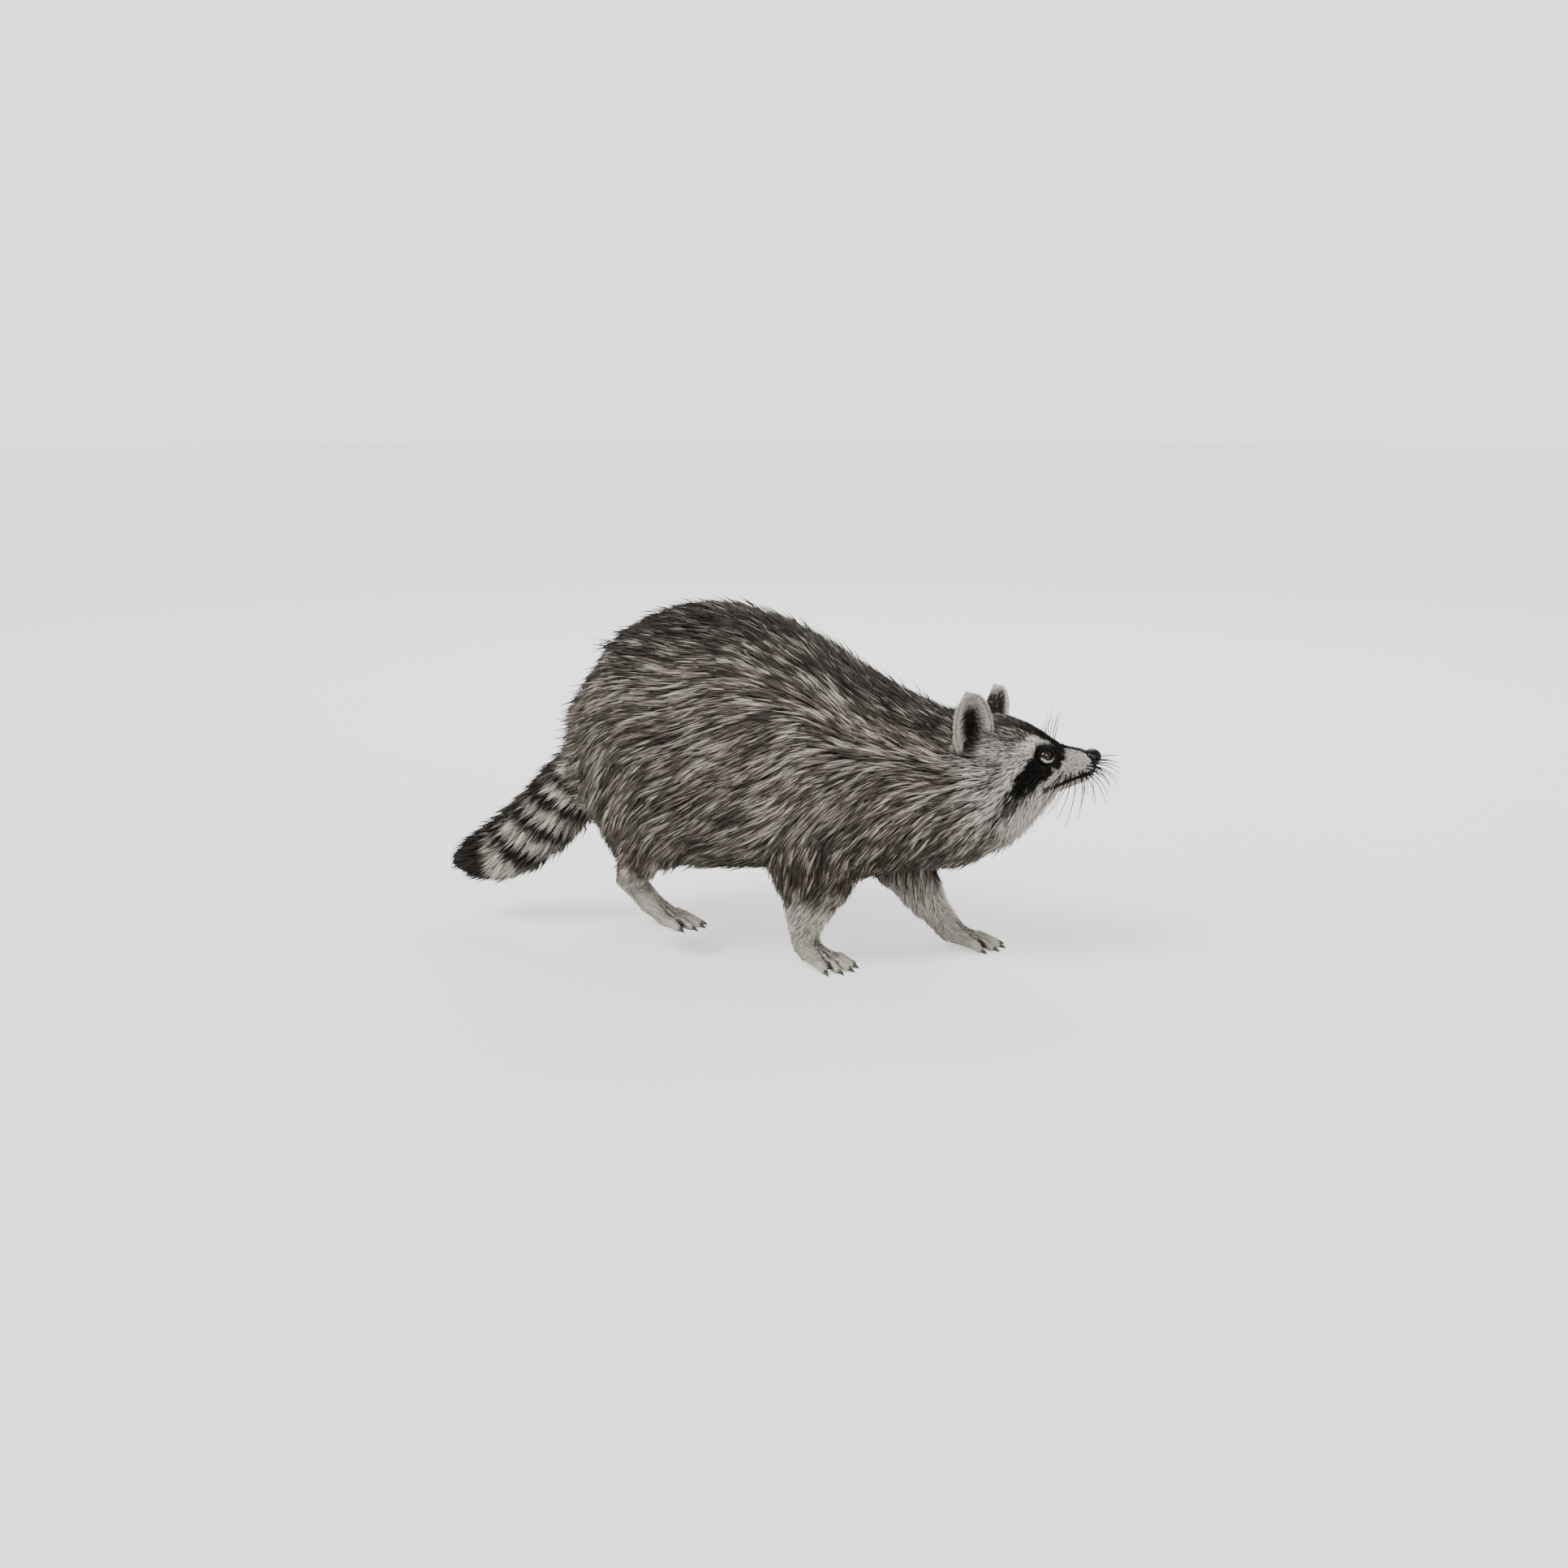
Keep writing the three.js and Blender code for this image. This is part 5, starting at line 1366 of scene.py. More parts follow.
def grow_coat(settings, palette):
    """Every tuft of the coat. Tufts of one lock draw together over its middle line, where they are highest,
    and share its tone; a tuft's colour is painted lighter there and darker towards the lock's edges, as
    painted light and shade. A few long guard tufts stand out, most of all along the back."""
    rng = np.random.default_rng(settings.seed)
    root, out, coat, lie = thrown(lambda *at: coat_density(*at) * settings.density, settings.seed)
    keep = ~bare(root, out)
    root, out, coat, lie = root[keep], out[keep], coat[keep], unit(lie[keep])
    count = len(root)
    lie, lock, draw = combed(root, out, lie, rng)
    pull, aside = to_lock(root, out, coat, lie, lock)
    pull *= (settings.clump * ramp(coat, 4, 16) * rng.uniform(0.6, 1.3, count))[:, None]
    guard, under, length, level = statures(root, out, coat, draw, aside, settings.length, rng)
    middle, tip = bent(root, out, lie, pull, length, level)

    width = (0.42 + settings.width * coat) * rng.uniform(0.75, 1.25, count) * np.where(under, 1.5, 1.0)
    width *= np.where(guard, 1.25, 1)
    tufts = tuft_points(root, middle, tip, out, width, 0.55, rng.normal(0, 0.45, count))
    mixed = np.clip(0.5 * rng.random(count) + 0.5 * draw[:, 1], 0, 1)
    mixed = np.where(under, 0.5, (mixed - 0.5) * 1.3 + 0.5)
    mixed = np.where(guard, mixed * 0.8, mixed)
    # Painted light and shade of the locks: a tuft is painted lighter near its lock's middle line and darker
    # towards the lock's edges.
    bright = rng.uniform(0.84, 1.14, count) * (1.12 - 0.34 * aside**2) * (0.88 + 0.24 * draw[:, 2])
    bright *= np.where(under, 0.85, 1) * (1 + 0.1 * waves(root, size=40, seed=51))
    shades = tuft_shades(coat_tone(middle, palette), coat_tone(tip, palette), mixed, bright)
    return dict(root=root, tufts=tufts, shades=shades, names=part_of(root), strand=strand_places(rng, count))


# -------- ears


def ear_frame(name):
    """An ear's turn, as a matrix, and its base. It is turned about Z, leant about Y and splayed about X."""
    side, base, lean, splay = EARS[name]
    a, b, c = [math.radians(v) for v in (-side * splay, -lean, side * EAR_TURN)]
    about_x = np.array([(1, 0, 0), (0, math.cos(a), -math.sin(a)), (0, math.sin(a), math.cos(a))])
    about_y = np.array([(math.cos(b), 0, math.sin(b)), (0, 1, 0), (-math.sin(b), 0, math.cos(b))])
    about_z = np.array([(math.cos(c), -math.sin(c), 0), (math.sin(c), math.cos(c), 0), (0, 0, 1)])
    return about_x @ about_y @ about_z, np.array(base, float)


def ear_leaf(name, u, v, face):
    """A place on an ear. u runs from the base to the top and v across. The half width is
    half sqrt(1 - u^3) (0.85 + 0.45u - 0.3u^2), the cup cup (1 - v^2)(1 - 0.6u) deep, and the wall between
    its two faces wall sqrt(1 - v^4)(1 - 0.5u) thick, less the fur. `face` is 0 on the back and 1 inside."""
    u, v = np.broadcast_arrays(np.asarray(u, float), np.asarray(v, float))
    half = (EAR_HALF - EAR_FUR) * np.sqrt(np.maximum(1 - u**3, 0)) * (0.85 + 0.45 * u - 0.3 * u * u)
    depth = EAR_CUP * (1 - v * v) * (1 - 0.6 * u)
    edge = np.sqrt(np.maximum(1 - v**4, 0))
    wall = EAR_WALL * edge * (1 - 0.5 * u)
    ahead = face * wall - depth + EAR_FUR * edge * (1 - 2 * face) * 0.5
    up = (EAR_HEIGHT - EAR_FUR) * u - EAR_SUNK * (1 - u)
    turn, base = ear_frame(name)
    return np.stack([ahead, half * v, up], -1) @ turn.T + base


def ear_skin(name, palette):
    """The ear's shell: rings of back and inside, from the base to the top, closer towards the top."""
    rows = np.append(1 - (1 - np.linspace(0, 1, 26)[:-1]) ** 1.6, 0.995)
    across = np.sin(np.linspace(-np.pi / 2, np.pi / 2, 21))
    back_again = across[::-1][1:-1]
    back = ear_leaf(name, rows[:, None], across[None], 0.0)
    inner = ear_leaf(name, rows[:, None], back_again[None], 1.0)
    points, faces = shell(np.concatenate([back, inner], 1), end=ear_leaf(name, 1.0, 0.0, 0.5))
    around = np.concatenate([across, back_again])
    u = np.repeat(rows, len(around))
    v = np.tile(around, len(rows))
    inside = np.tile(np.concatenate([np.zeros(len(across)), np.ones(len(back_again))]), len(rows))
    u, v, inside = [np.concatenate([x, [x[0], x[-1]]]) for x in (u, v, inside)]
    return points, faces, ear_colour(u, v, inside, palette)[:, MIDDLE]


def ear_colour(u, v, inside, palette):
    """White round the rim but for its base, dark deep inside and dark grey over most of the back."""
    to_rim = np.maximum(np.abs(v), u * 1.02)
    rim = lerp(ramp(to_rim, 0.78, 0.96), ramp(to_rim, 0.66, 0.86), inside)
    rim *= 0.25 + 0.75 * ramp(u, 0.03, 0.2)
    deep = inside * (1 - ramp(np.abs(v), 0.35, 0.75)) * (1 - ramp(u, 0.55, 0.85)) * 0.95
    behind = (1 - inside) * (1 - ramp(u, 0.5, 0.95)) * 0.7
    found = lerp(palette["crown"], palette["cheek"], (0.5 * inside)[:, None])
    found = lerp(found, palette["mask"], np.maximum(deep, behind)[:, None])
    return lerp(found, palette["white"], rim[:, None])


def ear_grain(name, u, v, inside):
    """Places on an ear with the directions up it, across it and out of that face."""
    step = 1e-3
    root = ear_leaf(name, u, v, inside)
    up = unit(ear_leaf(name, np.minimum(u + step, 1), v, inside) - root)
    across = unit(ear_leaf(name, u, v + step, inside) - root)
    out = unit(np.cross(across, up))
    turn, _ = ear_frame(name)
    facing = turn @ np.array([1.0 if inside > 0.5 else -1.0, 0, 0])
    return root, up, across, np.where(dot(out, facing)[:, None] < 0, -out, out)


# How many hairs of each kind an ear has: short ones over the back, long ones across the cup from its edges, a
# fringe along the rim, and long ones at the base that sweep back from the head.
EAR_HAIR = {"back": 2600, "cup": 2100, "rim": 1500, "base": 1500}
EAR_BASE = 0.26  # how far up the ear the long fur of its base grows


def ear_places(kind, count, rng):
    """Where the hairs of a kind grow: up the ear, across it, and how far inside."""
    u = rng.random(count) ** 0.85 * 0.985
    v = np.sin((rng.random(count) - 0.5) * np.pi) * 0.985
    if kind == "rim":
        u = 1 - (1 - rng.random(count)) ** 1.9 * 0.97
        v = np.where(rng.random(count) < 0.5, -1, 1) * (1 - 0.05 * rng.random(count))
    if kind == "base":
        u = EAR_BASE * rng.random(count) ** 1.4
    return u, v, {"cup": 1.0, "rim": 0.5}.get(kind, 0.0)


def ear_lies(kind, u, v, up, across, out, rng):
    """The lie, the length and the rise over the ear of the hairs of a kind."""
    count = len(u)
    if kind == "cup":
        rim = ramp(np.maximum(np.abs(v), u), 0.7, 0.95)
        lie = up * 0.7 - across * (v * 0.9)[:, None] + out * 0.25
        length = rng.uniform(4, 8, count) + 5 * (1 - rim) * rng.random(count)
        return lie, length, 0.6 * (0.6 + 0.9 * rng.random(count))
    if kind == "back":
        lie = up + across * (v * 0.35)[:, None]
        length = rng.uniform(3.6, 6.2, count) + 3 * (1 - ramp(u, 0.0, 0.4))
        return lie, length, 0.8 * (0.6 + 0.9 * rng.random(count))
    if kind == "rim":
        lie = up * 0.9 + across * (np.sign(v) * 0.28)[:, None] - out * rng.normal(0, 0.25, count)[:, None]
        return lie, rng.uniform(2.6, 5.0, count), rng.normal(0, 0.35, count)
    lie = up * 0.55 + across * (v * 0.3)[:, None] + out * 0.3 + np.array([-0.5, 0, 0])
    return lie, rng.uniform(6, 12, count) * (1 - 0.4 * u / EAR_BASE), rng.uniform(0.4, 2.4, count)


def ear_tufts(name, palette, rng):
    """All the hair of an ear: its tufts, shades, places on the unwrap and places in the strands' noise."""
    found = []
    for kind, count in EAR_HAIR.items():
        u, v, inside = ear_places(kind, count, rng)
        root, up, across, out = ear_grain(name, u, v, inside)
        lie, length, rise = ear_lies(kind, u, v, up, across, out, rng)
        lie = unit(lie + rng.normal(0, 0.12, (count, 3)))
        middle = root + lie * (length * 0.48)[:, None] + out * (rise * 0.7)[:, None]
        tip = root + lie * length[:, None] * 0.98 + out * rise[:, None]
        width = rng.uniform(0.55, 0.95, count)
        tufts = tuft_points(root, middle, tip, out, width, 0.5, rng.normal(0, 0.4, count))
        rows = ear_colour(u, v, np.full(count, round(inside)), palette)
        if kind == "base":
            rows = np.broadcast_to(lerp(palette["crown"], palette["cheek"], 0.6), rows.shape)
        shades = tuft_shades(rows, rows, rng.random(count), rng.uniform(0.82, 1.12, count))
        spot = np.stack([np.clip(u, 0.02, 0.98), (v + 1) / 4 + 0.5 * (kind == "cup")], 1)
        found.append((tufts, shades, spot))
    tufts, shades, place = [np.concatenate(values) for values in zip(*found)]
    return tufts, shades, place, strand_places(rng, len(tufts))


# -------- eyes, lids, nose, lips, whiskers, claws


def eye_axes(side):
    """An eye's own directions: where it looks, towards its front corner, and up."""
    gaze = unit(np.array([0.6, 0.7 * side, 0.36]))
    front = square_to(np.array([1.0, -0.55 * side, -0.12]), gaze)
    return gaze, front, np.cross(gaze, front) * (1 if side < 0 else -1)


def eye_ball(side):
    """A ball with its pole where it looks, raised there by the cornea: radius + 0.7 exp(-(angle/0.5)^2).
    Its shade has the pupil out to 22 degrees, and the iris, which darkens towards its rim at 44."""
    centre = EYE_AT * (1, side, 1)
    gaze, _, up = eye_axes(side)
    angle = np.linspace(np.pi, 0, 42)[1:-1][:, None]
    turn = (np.arange(48) / 48 * 2 * np.pi)[None]
    radius = EYE_RADIUS - BALL_UNDER + CORNEA * np.exp(-((angle / CORNEA_WIDE) ** 2))
    spread = np.cos(turn)[..., None] * np.cross(up, gaze) + np.sin(turn)[..., None] * up
    rings = centre + radius[..., None] * (np.cos(angle)[..., None] * gaze + np.sin(angle)[..., None] * spread)
    pole = centre + gaze * (EYE_RADIUS - BALL_UNDER + CORNEA)
    points, faces = shell(rings, start=centre - gaze * (EYE_RADIUS - BALL_UNDER), end=pole)
    seen = np.degrees(np.append(np.repeat(angle[:, 0], 48), [np.pi, 0]))
    iris = lerp(linear((33, 20, 12)), linear((13, 9, 6)), ramp(seen, 26, 44)[:, None])
    shade = lerp(linear((3, 2, 2)), iris, ramp(seen, 22, 25)[:, None])
    return points, faces, lerp(shade, linear((9, 7, 6)), ramp(seen, 42, 48)[:, None])


def on_lid(side, turn, past, over):
    """A place on the lids: at an angle round the opening, some degrees past its edge and so far over the
    ball. The opening's half angles are 54 degrees to the front corner, 47 to the back one, 30 up and 36
    down, joined as |cos/long|^1.7 + |sin/high|^1.7 = 1. The cornea lifts it by 0.35 exp(-(angle/0.5)^2)."""
    gaze, front, up = eye_axes(side)
    cos, sin = np.cos(turn), np.sin(turn)
    long, high = np.where(cos > 0, 54, 47), np.where(sin > 0, 30, 36)
    opening = 1 / (np.abs(cos / long) ** 1.7 + np.abs(sin / high) ** 1.7) ** (1 / 1.7)
    angle = np.radians(opening + past)
    radius = EYE_RADIUS + over + 0.35 * np.exp(-((angle / 0.5) ** 2))
    spread = cos[..., None] * front + sin[..., None] * up
    away = np.cos(angle)[..., None] * gaze + np.sin(angle)[..., None] * spread
    return EYE_AT * (1, side, 1) + radius[..., None] * away


# Across a lid: degrees past the opening's edge, and over the ball. Then how strong the painted highlight of
# the lower lid is there, a pale crescent in the lid's colour, and where the lid's outer face begins.
LID = np.array([(10, -0.5), (1.5, -0.15), (-1, 0.3), (1, 0.7), (5, 0.85), (12, 0.6), (24, -0.1), (30, -1.6)])
LID_HIGHLIGHT = np.array([0, 0, 0.3, 1, 0.9, 0.1, 0, 0])
LID_OUTER = 3
LID_HAIRS = 900


def lid_highlight_share(turn):
    """How much of the painted highlight, a pale crescent on the lower lid's edge, there is at an angle round
    the opening.
    """
    return ramp(-np.sin(turn) + 0.2 * np.cos(turn), 0.05, 0.6)


def lid_ring(side):
    """The lids: a closed sleeve round the opening that rises from the ball and sinks into the face. The
    lower lid's edge carries a painted highlight: a pale crescent in the lid's own colour."""
    turn = np.arange(56) / 56 * 2 * np.pi
    points = on_lid(side, turn[:, None], LID[:, 0][None], LID[:, 1][None])
    around, across = points.shape[:2]
    a = np.arange(around * across).reshape(around, across)
    b, c = np.roll(a, -1, 0), np.roll(a, -1, 1)
    d = np.roll(b, -1, 1)
    faces = np.concatenate([np.stack([a, b, d], -1).reshape(-1, 3), np.stack([a, d, c], -1).reshape(-1, 3)])
    if side > 0:
        faces = faces[:, ::-1]
    # The pale crescent on the lower lid is a painted highlight.
    pale = lid_highlight_share(turn)[:, None] * LID_HIGHLIGHT[None]
    shade = lerp(linear((11, 9, 8)), linear((188, 180, 168)), pale.reshape(-1, 1))
    return points.reshape(-1, 3), faces, shade


def lid_fur(side, palette, rng):
    """Short fur on the lids that lies away from the eye: black, but pale at the lower lid's edge, where the
    lid's painted highlight goes on into the fur.
    """
    count = LID_HAIRS
    turn, past = rng.uniform(0, 2 * np.pi, count), rng.uniform(2, 27, count)
    over = np.interp(past, *LID[LID_OUTER:].T)
    root = on_lid(side, turn, past, over - 0.15)
    lie = unit(on_lid(side, turn, past + 3, over) - root) + rng.normal(0, 0.16, (count, 3))
    out = unit(root - EYE_AT * (1, side, 1))
    lie = square_to(lie, out)
    length = lerp(1.3, 3.4, ramp(past, 3, 14)) * rng.uniform(0.8, 1.2, count)
    rise = rng.uniform(0.15, 0.5, count) + 0.5 * ramp(past, 14, 27)
    middle = root + lie * (length * 0.5)[:, None] + out * (rise * 0.8)[:, None]
    tip = root + lie * length[:, None] + out * (rise * 0.8)[:, None]
    tufts = tuft_points(root, middle, tip, out, rng.uniform(0.32, 0.5, count), 0.5, rng.normal(0, 0.4, count))
    # The pale fur at the lower lid's edge carries on the lid's painted highlight.
    pale = lid_highlight_share(turn) * (1 - ramp(past, 5.5, 8))
    rows = lerp(palette["mask"], palette["white"], pale[:, None])
    shades = tuft_shades(rows, rows, rng.random(count), rng.uniform(0.82, 1.12, count))
    place = np.stack([turn / (2 * np.pi), past / 30], 1)
    return tufts, shades, place, strand_places(rng, count)


# A nostril's slit from its opening to its end, on the left.
NOSTRIL = np.array([(299.4, 4.3, 202.9), (294.8, 9.0, 200.6)])


def nose_leather():
    """An ellipsoid with a flattened top: comma nostrils sunk 3.6 deep, and 1.6 at the end of short slits to
    the sides, each in a raised rim, and a groove down the middle under them."""
    angle = np.linspace(np.pi, 0, 74)[1:-1][:, None]
    turn = (np.arange(96) / 96 * 2 * np.pi)[None]
    x = np.cos(angle) * np.ones_like(turn)
    y, z = np.sin(angle) * np.cos(turn), np.sin(angle) * np.sin(turn)
    z = np.where(z > 0, z * (1 - 0.12 * z), z)
    flow = np.stack([x, y * (1 - 0.22 * ramp(-z, 0.1, 1)), z], -1)
    points = NOSE_AT + flow * NOSE_RADII
    for side in (1, -1):
        a, b = NOSTRIL * (1, side, 1)
        run = b - a
        t = np.clip(((points - a) @ run) / (run @ run), 0, 1)
        distance = np.linalg.norm(points - a - t[..., None] * run, axis=-1)
        reach = lerp(2.0, 0.9, ramp(t, 0.2, 0.9))
        pit = lerp(3.6, 1.6, ramp(t, 0.2, 1.0)) * np.exp(-((distance / reach) ** 3))
        rim = 0.35 * np.exp(-(((distance - reach * 1.5) / 0.8) ** 2))
        points = points + flow * (rim - pit)[..., None]
    groove = 0.9 * np.exp(-((points[..., 1] / 0.55) ** 2)) * ramp(202 - points[..., 2], 0, 3)
    points = points - flow * (groove * ramp(x, 0.1, 0.5))[..., None]
    return shell(points, start=NOSE_AT - (NOSE_RADII[0], 0, 0))


def on_face(x, z, side):
    """The half width of the face at a place in the side view, found by halving."""
    low, high = np.zeros(len(x)), np.full(len(x), 60.0)
    for _ in range(22):
        half = (low + high) / 2
        inside = trunk_and_muzzle(np.stack([x, side * half, z], 1))[0] < 0
        low, high = np.where(inside, half, low), np.where(inside, high, half)
    return low


def tapered(path, radius, sides, up=(0, 0, 1)):
    """A closed round bar along a path of points, with a radius at each, that turns left about its run."""
    run = unit(np.gradient(path, axis=0))
    side = unit(np.cross(np.array(up, float), run))
    rise = np.cross(run, side)
    turn = np.arange(sides) / sides * 2 * np.pi
    ring = np.cos(turn)[None, :, None] * side[:, None] + np.sin(turn)[None, :, None] * rise[:, None]
    return shell(path[:, None] + ring * np.asarray(radius)[:, None, None], path[0], path[-1])


def lip_bars():
    """Dark lips: a bar over and one under the line of the mouth on both sides, thin at the corner."""
    found = []
    t = np.linspace(0, 1, 26)
    x = np.interp(t, [0, 0.16, 0.45, 0.75, 1], [293.5, 289, 279, 266, 252.5])
    z = np.interp(x, MOUTH[::-1, 0], MOUTH[::-1, 1])
    for side in (1, -1):
        for rise, radius in ((1.0, 1.15), (-1.0, 1.05)):
            level = z + rise * lerp(1.1, 0.7, t)
            half = on_face(x, level, side) - 0.25
            half *= ramp(t, -0.02, 0.16)
            path = np.stack([x, side * half, level], 1)
            found.append(tapered(path, radius * lerp(1.15, 0.8, t) * np.sqrt(ramp(t, -0.1, 0.12)), 8))
    return gathered(found)


# Whiskers of the left side, root and tip. The right side mirrors them, with turns of its own.
WHISKERS = [
    (288, 13, 198, 312.5, 22, 198.4),
    (288.5, 13.5, 196, 311.5, 26, 192.9),
    (286, 15, 196.5, 309, 34, 192.5),
    (288, 14, 194, 312.5, 30, 181),
    (285.5, 15.5, 194.5, 311, 40, 186.8),
    (287, 14.5, 192.5, 310.8, 36, 174.4),
    (285, 16, 192.5, 309.6, 42, 169.7),
    (283, 16, 191.5, 301.5, 46, 169.6),
    (283.5, 16.5, 193.5, 293, 40, 175.1),
    (281, 17, 191, 290.4, 50, 170.2),
    (281.5, 17.5, 194, 285.8, 46, 152.9),
    (278, 18.5, 190.5, 274.9, 50, 145.4),
    (275, 19.5, 190, 268.9, 56, 154),
    (276, 19, 192.5, 263.3, 48, 162.2),
    (271.5, 21, 189.5, 260.4, 58, 158.6),
    (267, 22.5, 189, 252.6, 54, 159.4),
    (270, 21.5, 192, 247.9, 50, 167.2),
]
BROW_HAIRS = [
    (249, 13, 216, 251.7, 14, 244),
    (254, 11.5, 215, 257.2, 16, 241),
    (256, 10.5, 214.5, 260.3, 13, 238),
    (246, 15, 216, 248.9, 19, 233),
]
CHEEK_HAIRS = [(232, 44, 175, 217, 70, 152), (236, 41, 170, 224, 68, 146)]
# Each group's radius at the root and the way its middle bows, for a hair of HAIR_LENGTH.
HAIRS = ((WHISKERS, 0.66, (7, 0, 5)), (BROW_HAIRS, 0.45, (-1, 0, 3)), (CHEEK_HAIRS, 0.45, (2, 3, 4)))
HAIR_LENGTH, HAIR_TAPER = 45, 0.35


def hairs():
    """Whiskers, brow and cheek hairs: thin bars on bowed paths from the face, thinner towards the tip. Each
    follows a quadratic curve, root (1-t)^2 + 2 bend t(1-t) + tip t^2."""
    rng = np.random.default_rng(HAIR_SEED)
    found = []
    t = np.linspace(0, 1, 17)[:, None]
    for group, radius, bow in HAIRS:
        for side in (1, -1):
            for root, tip in np.array(group, float).reshape(-1, 2, 3) * (1, side, 1):
                tip = tip + rng.normal(0, 0.8, 3) * (0.4, 1, 1)
                root = root - (1, side * 2.5, 0)
                length = np.linalg.norm(tip - root)
                bend = (root + tip) / 2 + np.array(bow) * (1, side, 1) * length / HAIR_LENGTH
                path = root * (1 - t) ** 2 + bend * 2 * t * (1 - t) + tip * t**2
                found.append(tapered(path, radius * lerp(1, HAIR_TAPER, t[:, 0]), 5, up=(0.3, 0.2, 1)))
    return gathered(found)


def claw_horn(foot, toe):
    """A claw: a bar from inside the toe's end that drops by the square of the way to a blunt point."""
    run, _, _, end = toe_run(foot, toe)
    t = np.linspace(-0.35, 1, CLAW_STEPS)
    path = end + run * (0.3 + t * CLAW_LENGTH)[:, None]
    path[:, 2] += -CLAW_DROP * np.maximum(t, 0) ** 2 + 0.1
    radius = CLAW_RADIUS * np.clip(1 - 0.1 * np.maximum(t, 0) - 0.85 * np.maximum(t, 0) ** 2.4, 0.05, 1)
    radius[0] *= 0.5
    points, faces = tapered(path, radius, CLAW_SIDES)
    along = np.append(np.repeat(t, CLAW_SIDES), [t[0], t[-1]])
    around = np.append(np.tile(np.arange(CLAW_SIDES) / CLAW_SIDES, CLAW_STEPS), [0, 0])
    return points, faces, along, around


# -------- what a user would change


def number_of(name, text, value, low, high, **kind):
    return bpy.props.FloatProperty(name=name, description=text, default=value, min=low, max=high, **kind)


def colour_of(name, text, value):
    value = [v / 255 for v in value]
    limits = dict(min=0, max=1, subtype="COLOR_GAMMA")
    return bpy.props.FloatVectorProperty(name=name, description=text, default=value, **limits)


class SkinSettings(bpy.types.PropertyGroup):
    lattice: number_of("Lattice", "Step of the skin's lattice", GRID * MM, 0.002, 0.01, unit="LENGTH")


class CoatSettings(bpy.types.PropertyGroup):
    density: number_of("Density", "Share of the full number of tufts", 1.0, 0.05, 1.2, subtype="FACTOR")
    length: number_of("Length", "Length of a tuft for each millimetre of coat depth", 1.15, 0.5, 2)
    width: number_of("Width", "Width of a tuft for each millimetre of coat depth", 0.05, 0.01, 0.2)
    clump: number_of("Clump", "How far a tip leans to its lock's middle", 0.55, 0, 1, subtype="FACTOR")
    seed: bpy.props.IntProperty(name="Seed", description="Seed of the tufts' places", default=7, min=0)


class CoatColours(bpy.types.PropertyGroup):
    # The underfur's colour also stands partly for painted shade deep in the coat.
    underfur: colour_of("Underfur", "Wool next to the skin", (84, 74, 64))
    flank: colour_of("Flank", "Middle of the guard hairs on the flanks", (126, 116, 104))
    spine: colour_of("Spine", "Middle of the guard hairs along the back", (70, 62, 55))
    belly: colour_of("Belly", "Middle of the guard hairs under the body", (98, 85, 72))
    guard_dark: colour_of("Dark tips", "Tips of the dark guard hairs", (34, 29, 26))
    guard_pale: colour_of("Pale tips", "Tips of the pale guard hairs", (203, 196, 182))
    mask: colour_of("Mask", "Mask round the eyes", (20, 17, 16))
    white: colour_of("White", "Brows, muzzle and ear rims", (218, 212, 202))
    foot: colour_of("Feet", "Short fur of the feet", (228, 221, 208))
    ring_dark: colour_of("Dark rings", "Dark rings of the tail", (34, 28, 24))
    ring_pale: colour_of("Pale rings", "Pale rings of the tail", (222, 214, 198))


class StageSettings(bpy.types.PropertyGroup):
    lens: number_of("Lens", "Focal length", 50, 10, 200, unit="CAMERA")
    azimuth: number_of("Azimuth", "Turn round the animal", math.radians(16), -3.1, 3.1, subtype="ANGLE")
    elevation: number_of("Elevation", "Height over the horizon", math.radians(12), 0, 1.5, subtype="ANGLE")
    distance: number_of("Distance", "From the camera to the flank", 2.0641, 0.5, 10, unit="LENGTH")
    light: number_of("Light", "Strength of the main light", 2.7, 0, 100)


class RaccoonSettings(bpy.types.PropertyGroup):
    skin: bpy.props.PointerProperty(type=SkinSettings)
    coat: bpy.props.PointerProperty(type=CoatSettings)
    colours: bpy.props.PointerProperty(type=CoatColours)
    stage: bpy.props.PointerProperty(type=StageSettings)


# -------- stage, in metres but for the target

TARGET = (0, 0, 160)  # what the camera looks at, in the animal's own millimetres
SENSOR = 36  # the film's width in millimetres
FLOOR_RADII = (0.3, 1.0, 3.0, 9.0)
WORLD_LIGHT, WORLD_SHOWN = 0.65, 2.0  # the world's strength as a light and as a backdrop
LAMPS_AIM = (0, 0, 0.15)
# Lamps: name, kind, place, size, and strength for each unit of the main light's.
LAMPS = (
    ("main", "SUN", (-1.0, -1.5, 2.2), math.radians(28), 1),
    ("fill", "AREA", (2.2, -1.6, 0.9), 1.6, 7),
    ("rim", "AREA", (-0.2, 1.9, 1.9), 1.4, 10),
    ("glint", "AREA", (0.9, -1.3, 1.1), 0.7, 6.8),
)

# -------- operators


class MakeSkin(bpy.types.Operator):
    """One closed skin for trunk, head, tail, legs and feet"""

    bl_idname = "raccoon.skin"
    bl_label = "Skin"

    def execute(self, context):
        settings = context.scene.raccoon
        make_skin(settings.skin.lattice / MM)
        shade = skin_shade(tones(settings.colours))
        mesh_piece("skin", SKIN["points"], SKIN["faces"], skin_material(), shade, nodes=FLESH, slot="coat")
        return {"FINISHED"}


